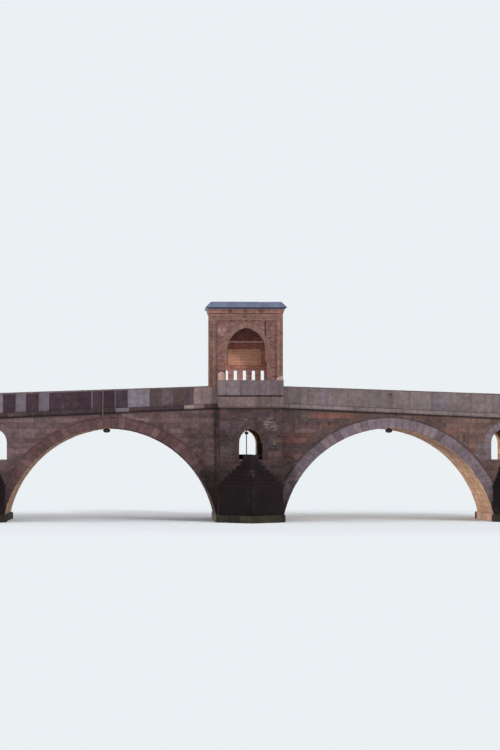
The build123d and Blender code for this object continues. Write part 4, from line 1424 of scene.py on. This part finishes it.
# Seams start just inside the rim, pass the brow, and end on the ridge or at the hip
top = roof_levels[3][2]
(rim_x, rim_y, rim_z), (brow_x, brow_y, brow_z) = roof_levels[1:3]
hip = (
    (rim_x - 0.005, rim_y - 0.005, rim_z + 0.002), (brow_x, brow_y, brow_z + 0.002), (ridge_half, ridge_width, top),
)
seam_pitch = 0.56


def climb(offset, along):
    """A seam up a slope at an offset along its eave, which runs along X or Y as the index says."""
    line = [(offset, hip[0][1 - along], hip[0][2])]
    for low, high in zip(hip, hip[1:]):
        share = min(1.0, (low[along] - abs(offset)) / (low[along] - high[along]))
        line.append((offset, *(low[k] + (high[k] - low[k]) * share for k in (1 - along, 2))))
        if share < 1.0:
            break
    return line


lines = []
for i in range(-4, 5):
    for way in ways.values():
        lines.append([(u, kiosk_middle + way * v, z) for u, v, z in climb(i * seam_pitch, 0)])
for i in range(-2, 3):
    for sign in sides.values():
        lines.append([(sign * v, kiosk_middle + u, z) for u, v, z in climb(i * seam_pitch, 1)])
for sign in sides.values():
    for way in ways.values():
        lines.append([(sign * x, kiosk_middle + way * y, z) for x, y, z in hip])
seams = Tubes()
for line in lines:
    seams.add(line, 0.018)
seams.add([(-ridge_half, kiosk_middle, top), (ridge_half, kiosk_middle, top)], 0.022)
rim = [(x, kiosk_middle + y, rim_z) for x, y in box_of(lip - rim_x, rim_x - lip, lip - rim_y, rim_y - lip)]
for a, b in zip(rim, rim[1:] + rim[:1]):
    seams.add([a, b], 0.012)
plain_piece("roof_seams", seams.points, seams.faces, "roof_lead", roof_finish, True)

# Lamps under the crowns, the old lamp on its rod in the relief arch, and a tie bar on the kiosk
profile = [(0.0, 0.0), (0.10, 0.005), (0.17, 0.03), (0.213, 0.085), (0.224, 0.14), (0.224, 0.165),
           (0.215, 0.18), (0.15, 0.225), (0.08, 0.245), (0.08, 0.30), (0.0, 0.30)]
for name, x in (("left_lamp", -8.80), ("right_lamp", 8.585)):
    turned(name, profile, (x, -3.10, 5.48), lamp_finish, replaced=("crown_lamps",))
profile = [(0.0, 0.0), (0.07, 0.01), (0.115, 0.05), (0.13, 0.1), (0.11, 0.15), (0.03, 0.19), (0.03, 0.26),
           (0.0, 0.26)]
turned("relief_lamp", profile, (-0.25, -4.0, 5.36), iron_finish, 24)
profile = [(0.0, 0.0), (0.028, 0.0), (0.028, 1.28), (0.0, 1.28)]
turned("relief_rod", profile, (-0.25, -4.0, 4.10), iron_finish, 12)
bar = Tubes()
bar.add([(door_half, kiosk_front + 0.070, z) for z in (11.66, 12.0, 12.3, 12.61)], 0.030)
plain_piece("kiosk_tie_bar", bar.points, bar.faces, "lamp_metal", iron_finish)

# Finishes of the solids that stay in view, mostly as the joints between the stones
corner_finish = joint("corner_stone", (184, 152, 144), lichen=0.3, crust=0.4, crust_tone=(104, 84, 82))
# Painted light: the ledge under the vault is near white, lifted for the light that reaches it inside
ledge_finish = joint("ledge_stone", (250, 226, 214), streaks=0.1, crust=0.1, lichen=0.1)
solid_finishes = (
    ("pier pilaster buttress abutment spandrel fill", joint_finish),
    ("cutwater footings", river_joint_finish),
    ("paving string_course parapet balcony_base kiosk_floor", pale_joint_finish),
    ("wall kiosk_vault kiosk_cornice", brick_joint_finish),
    ("left_vault", ring_joint_finish),
    ("right_vault", pale_ring_joint_finish),
    ("hood_moulds", ring_finish),
    ("corner_stones", corner_finish),
    ("ledge", ledge_finish),
    ("tablet", tablet_finish),
    ("roof", roof_finish),
    ("lamps", lamp_finish),
    ("conduit", conduit_finish),
)
for name, node in nodes.items():
    for words, material in solid_finishes:
        if any(word in name for word in words.split()):
            node.data.materials.clear()
            node.data.materials.append(material)
            break


# Plain pale floor, which meets the backdrop far away, and soft light from the sky with a low warm sun behind

backdrop = (0.83, 0.87, 0.90, 1.0)
floor_mesh = bpy.data.meshes.new("studio_floor")
floor_mesh.from_pydata([(x, y, 0) for x, y in box_of(-600, 600, -600, 600)], [], [(0, 1, 2, 3)])
floor = bpy.data.objects.new("studio_floor", floor_mesh)
bpy.context.scene.collection.objects.link(floor)
f = Finish("studio_floor")
diffuse = f.add("BsdfDiffuse", {"Color": (0.63, 0.665, 0.71, 1.0), "Roughness": 1.0})
glow = f.add("Emission", {"Color": backdrop, "Strength": 1.0})
away = f.add("Mapping", {"Vector": f.coords, "Scale": (1 / 34.0, 1 / 22.0, 1.0)})
reach = f.add("VectorMath", {0: away.outputs[0]}, operation="LENGTH")
fade = f.span(reach.outputs["Value"], 0.75, 1.6)
rays = f.add("LightPath").outputs
seen = f.math("MAXIMUM", rays["Is Camera Ray"], rays["Is Glossy Ray"])
blend = f.add("MixShader", {0: f.math("MULTIPLY", fade, seen), 1: diffuse.outputs[0], 2: glow.outputs[0]})
f.add("OutputMaterial", {"Surface": blend.outputs[0]})
floor_mesh.materials.append(f.material)

world = bpy.data.worlds.new("studio")
bpy.context.scene.world = world
f = Finish("studio", world)
sky = f.add("Background", {"Color": (1.0, 0.99, 0.97, 1.0), "Strength": 1.0})
back = f.add("Background", {"Color": backdrop, "Strength": 1.0})
rays = f.add("LightPath").outputs
seen = f.math("MAXIMUM", rays["Is Camera Ray"], rays["Is Glossy Ray"])
seen = f.math("MAXIMUM", seen, rays["Is Transmission Ray"])
mix = f.add("MixShader", {0: seen, 1: sky.outputs[0], 2: back.outputs[0]})
f.add("OutputWorld", {"Surface": mix.outputs[0]})


def aimed(name, data, direction):
    """Adds a light or camera that looks along the direction."""
    made = bpy.data.objects.new(name, data)
    made.rotation_mode = "QUATERNION"
    made.rotation_quaternion = Vector(direction).to_track_quat("-Z", "Y")
    bpy.context.scene.collection.objects.link(made)
    return made


for name, direction, strength, colour, angle in (
    ("low_sun", (0.62, -0.74, -0.27), 2.4, (1.0, 0.89, 0.74), 4.0),
    ("front_fill", (-0.35, 0.80, -0.48), 0.8, (1.0, 0.98, 0.96), 8.0),
):
    data = bpy.data.lights.new(name, "SUN")
    data.energy, data.color, data.angle = strength, colour, radians(angle)
    aimed(name, data, direction)

# Camera where the photograph was taken, over the water on the near side; its focal length is in pixels
focal, yaw, pitch = 2412.0, atan(111.8 / 2412.0), atan(73.0 / 2412.0)
camera_data = bpy.data.cameras.new("camera")
camera_data.sensor_width = 36.0
camera_data.lens = focal / 750.0 * 36.0
camera_data.clip_start, camera_data.clip_end = 1.0, 2000.0
camera = aimed("camera", camera_data, (sin(yaw) * cos(pitch), cos(yaw) * cos(pitch), sin(pitch)))
camera.location = (-6.87, -151.45, 4.54)
bpy.context.scene.camera = camera

bpy.context.scene.view_settings.view_transform = "Standard"
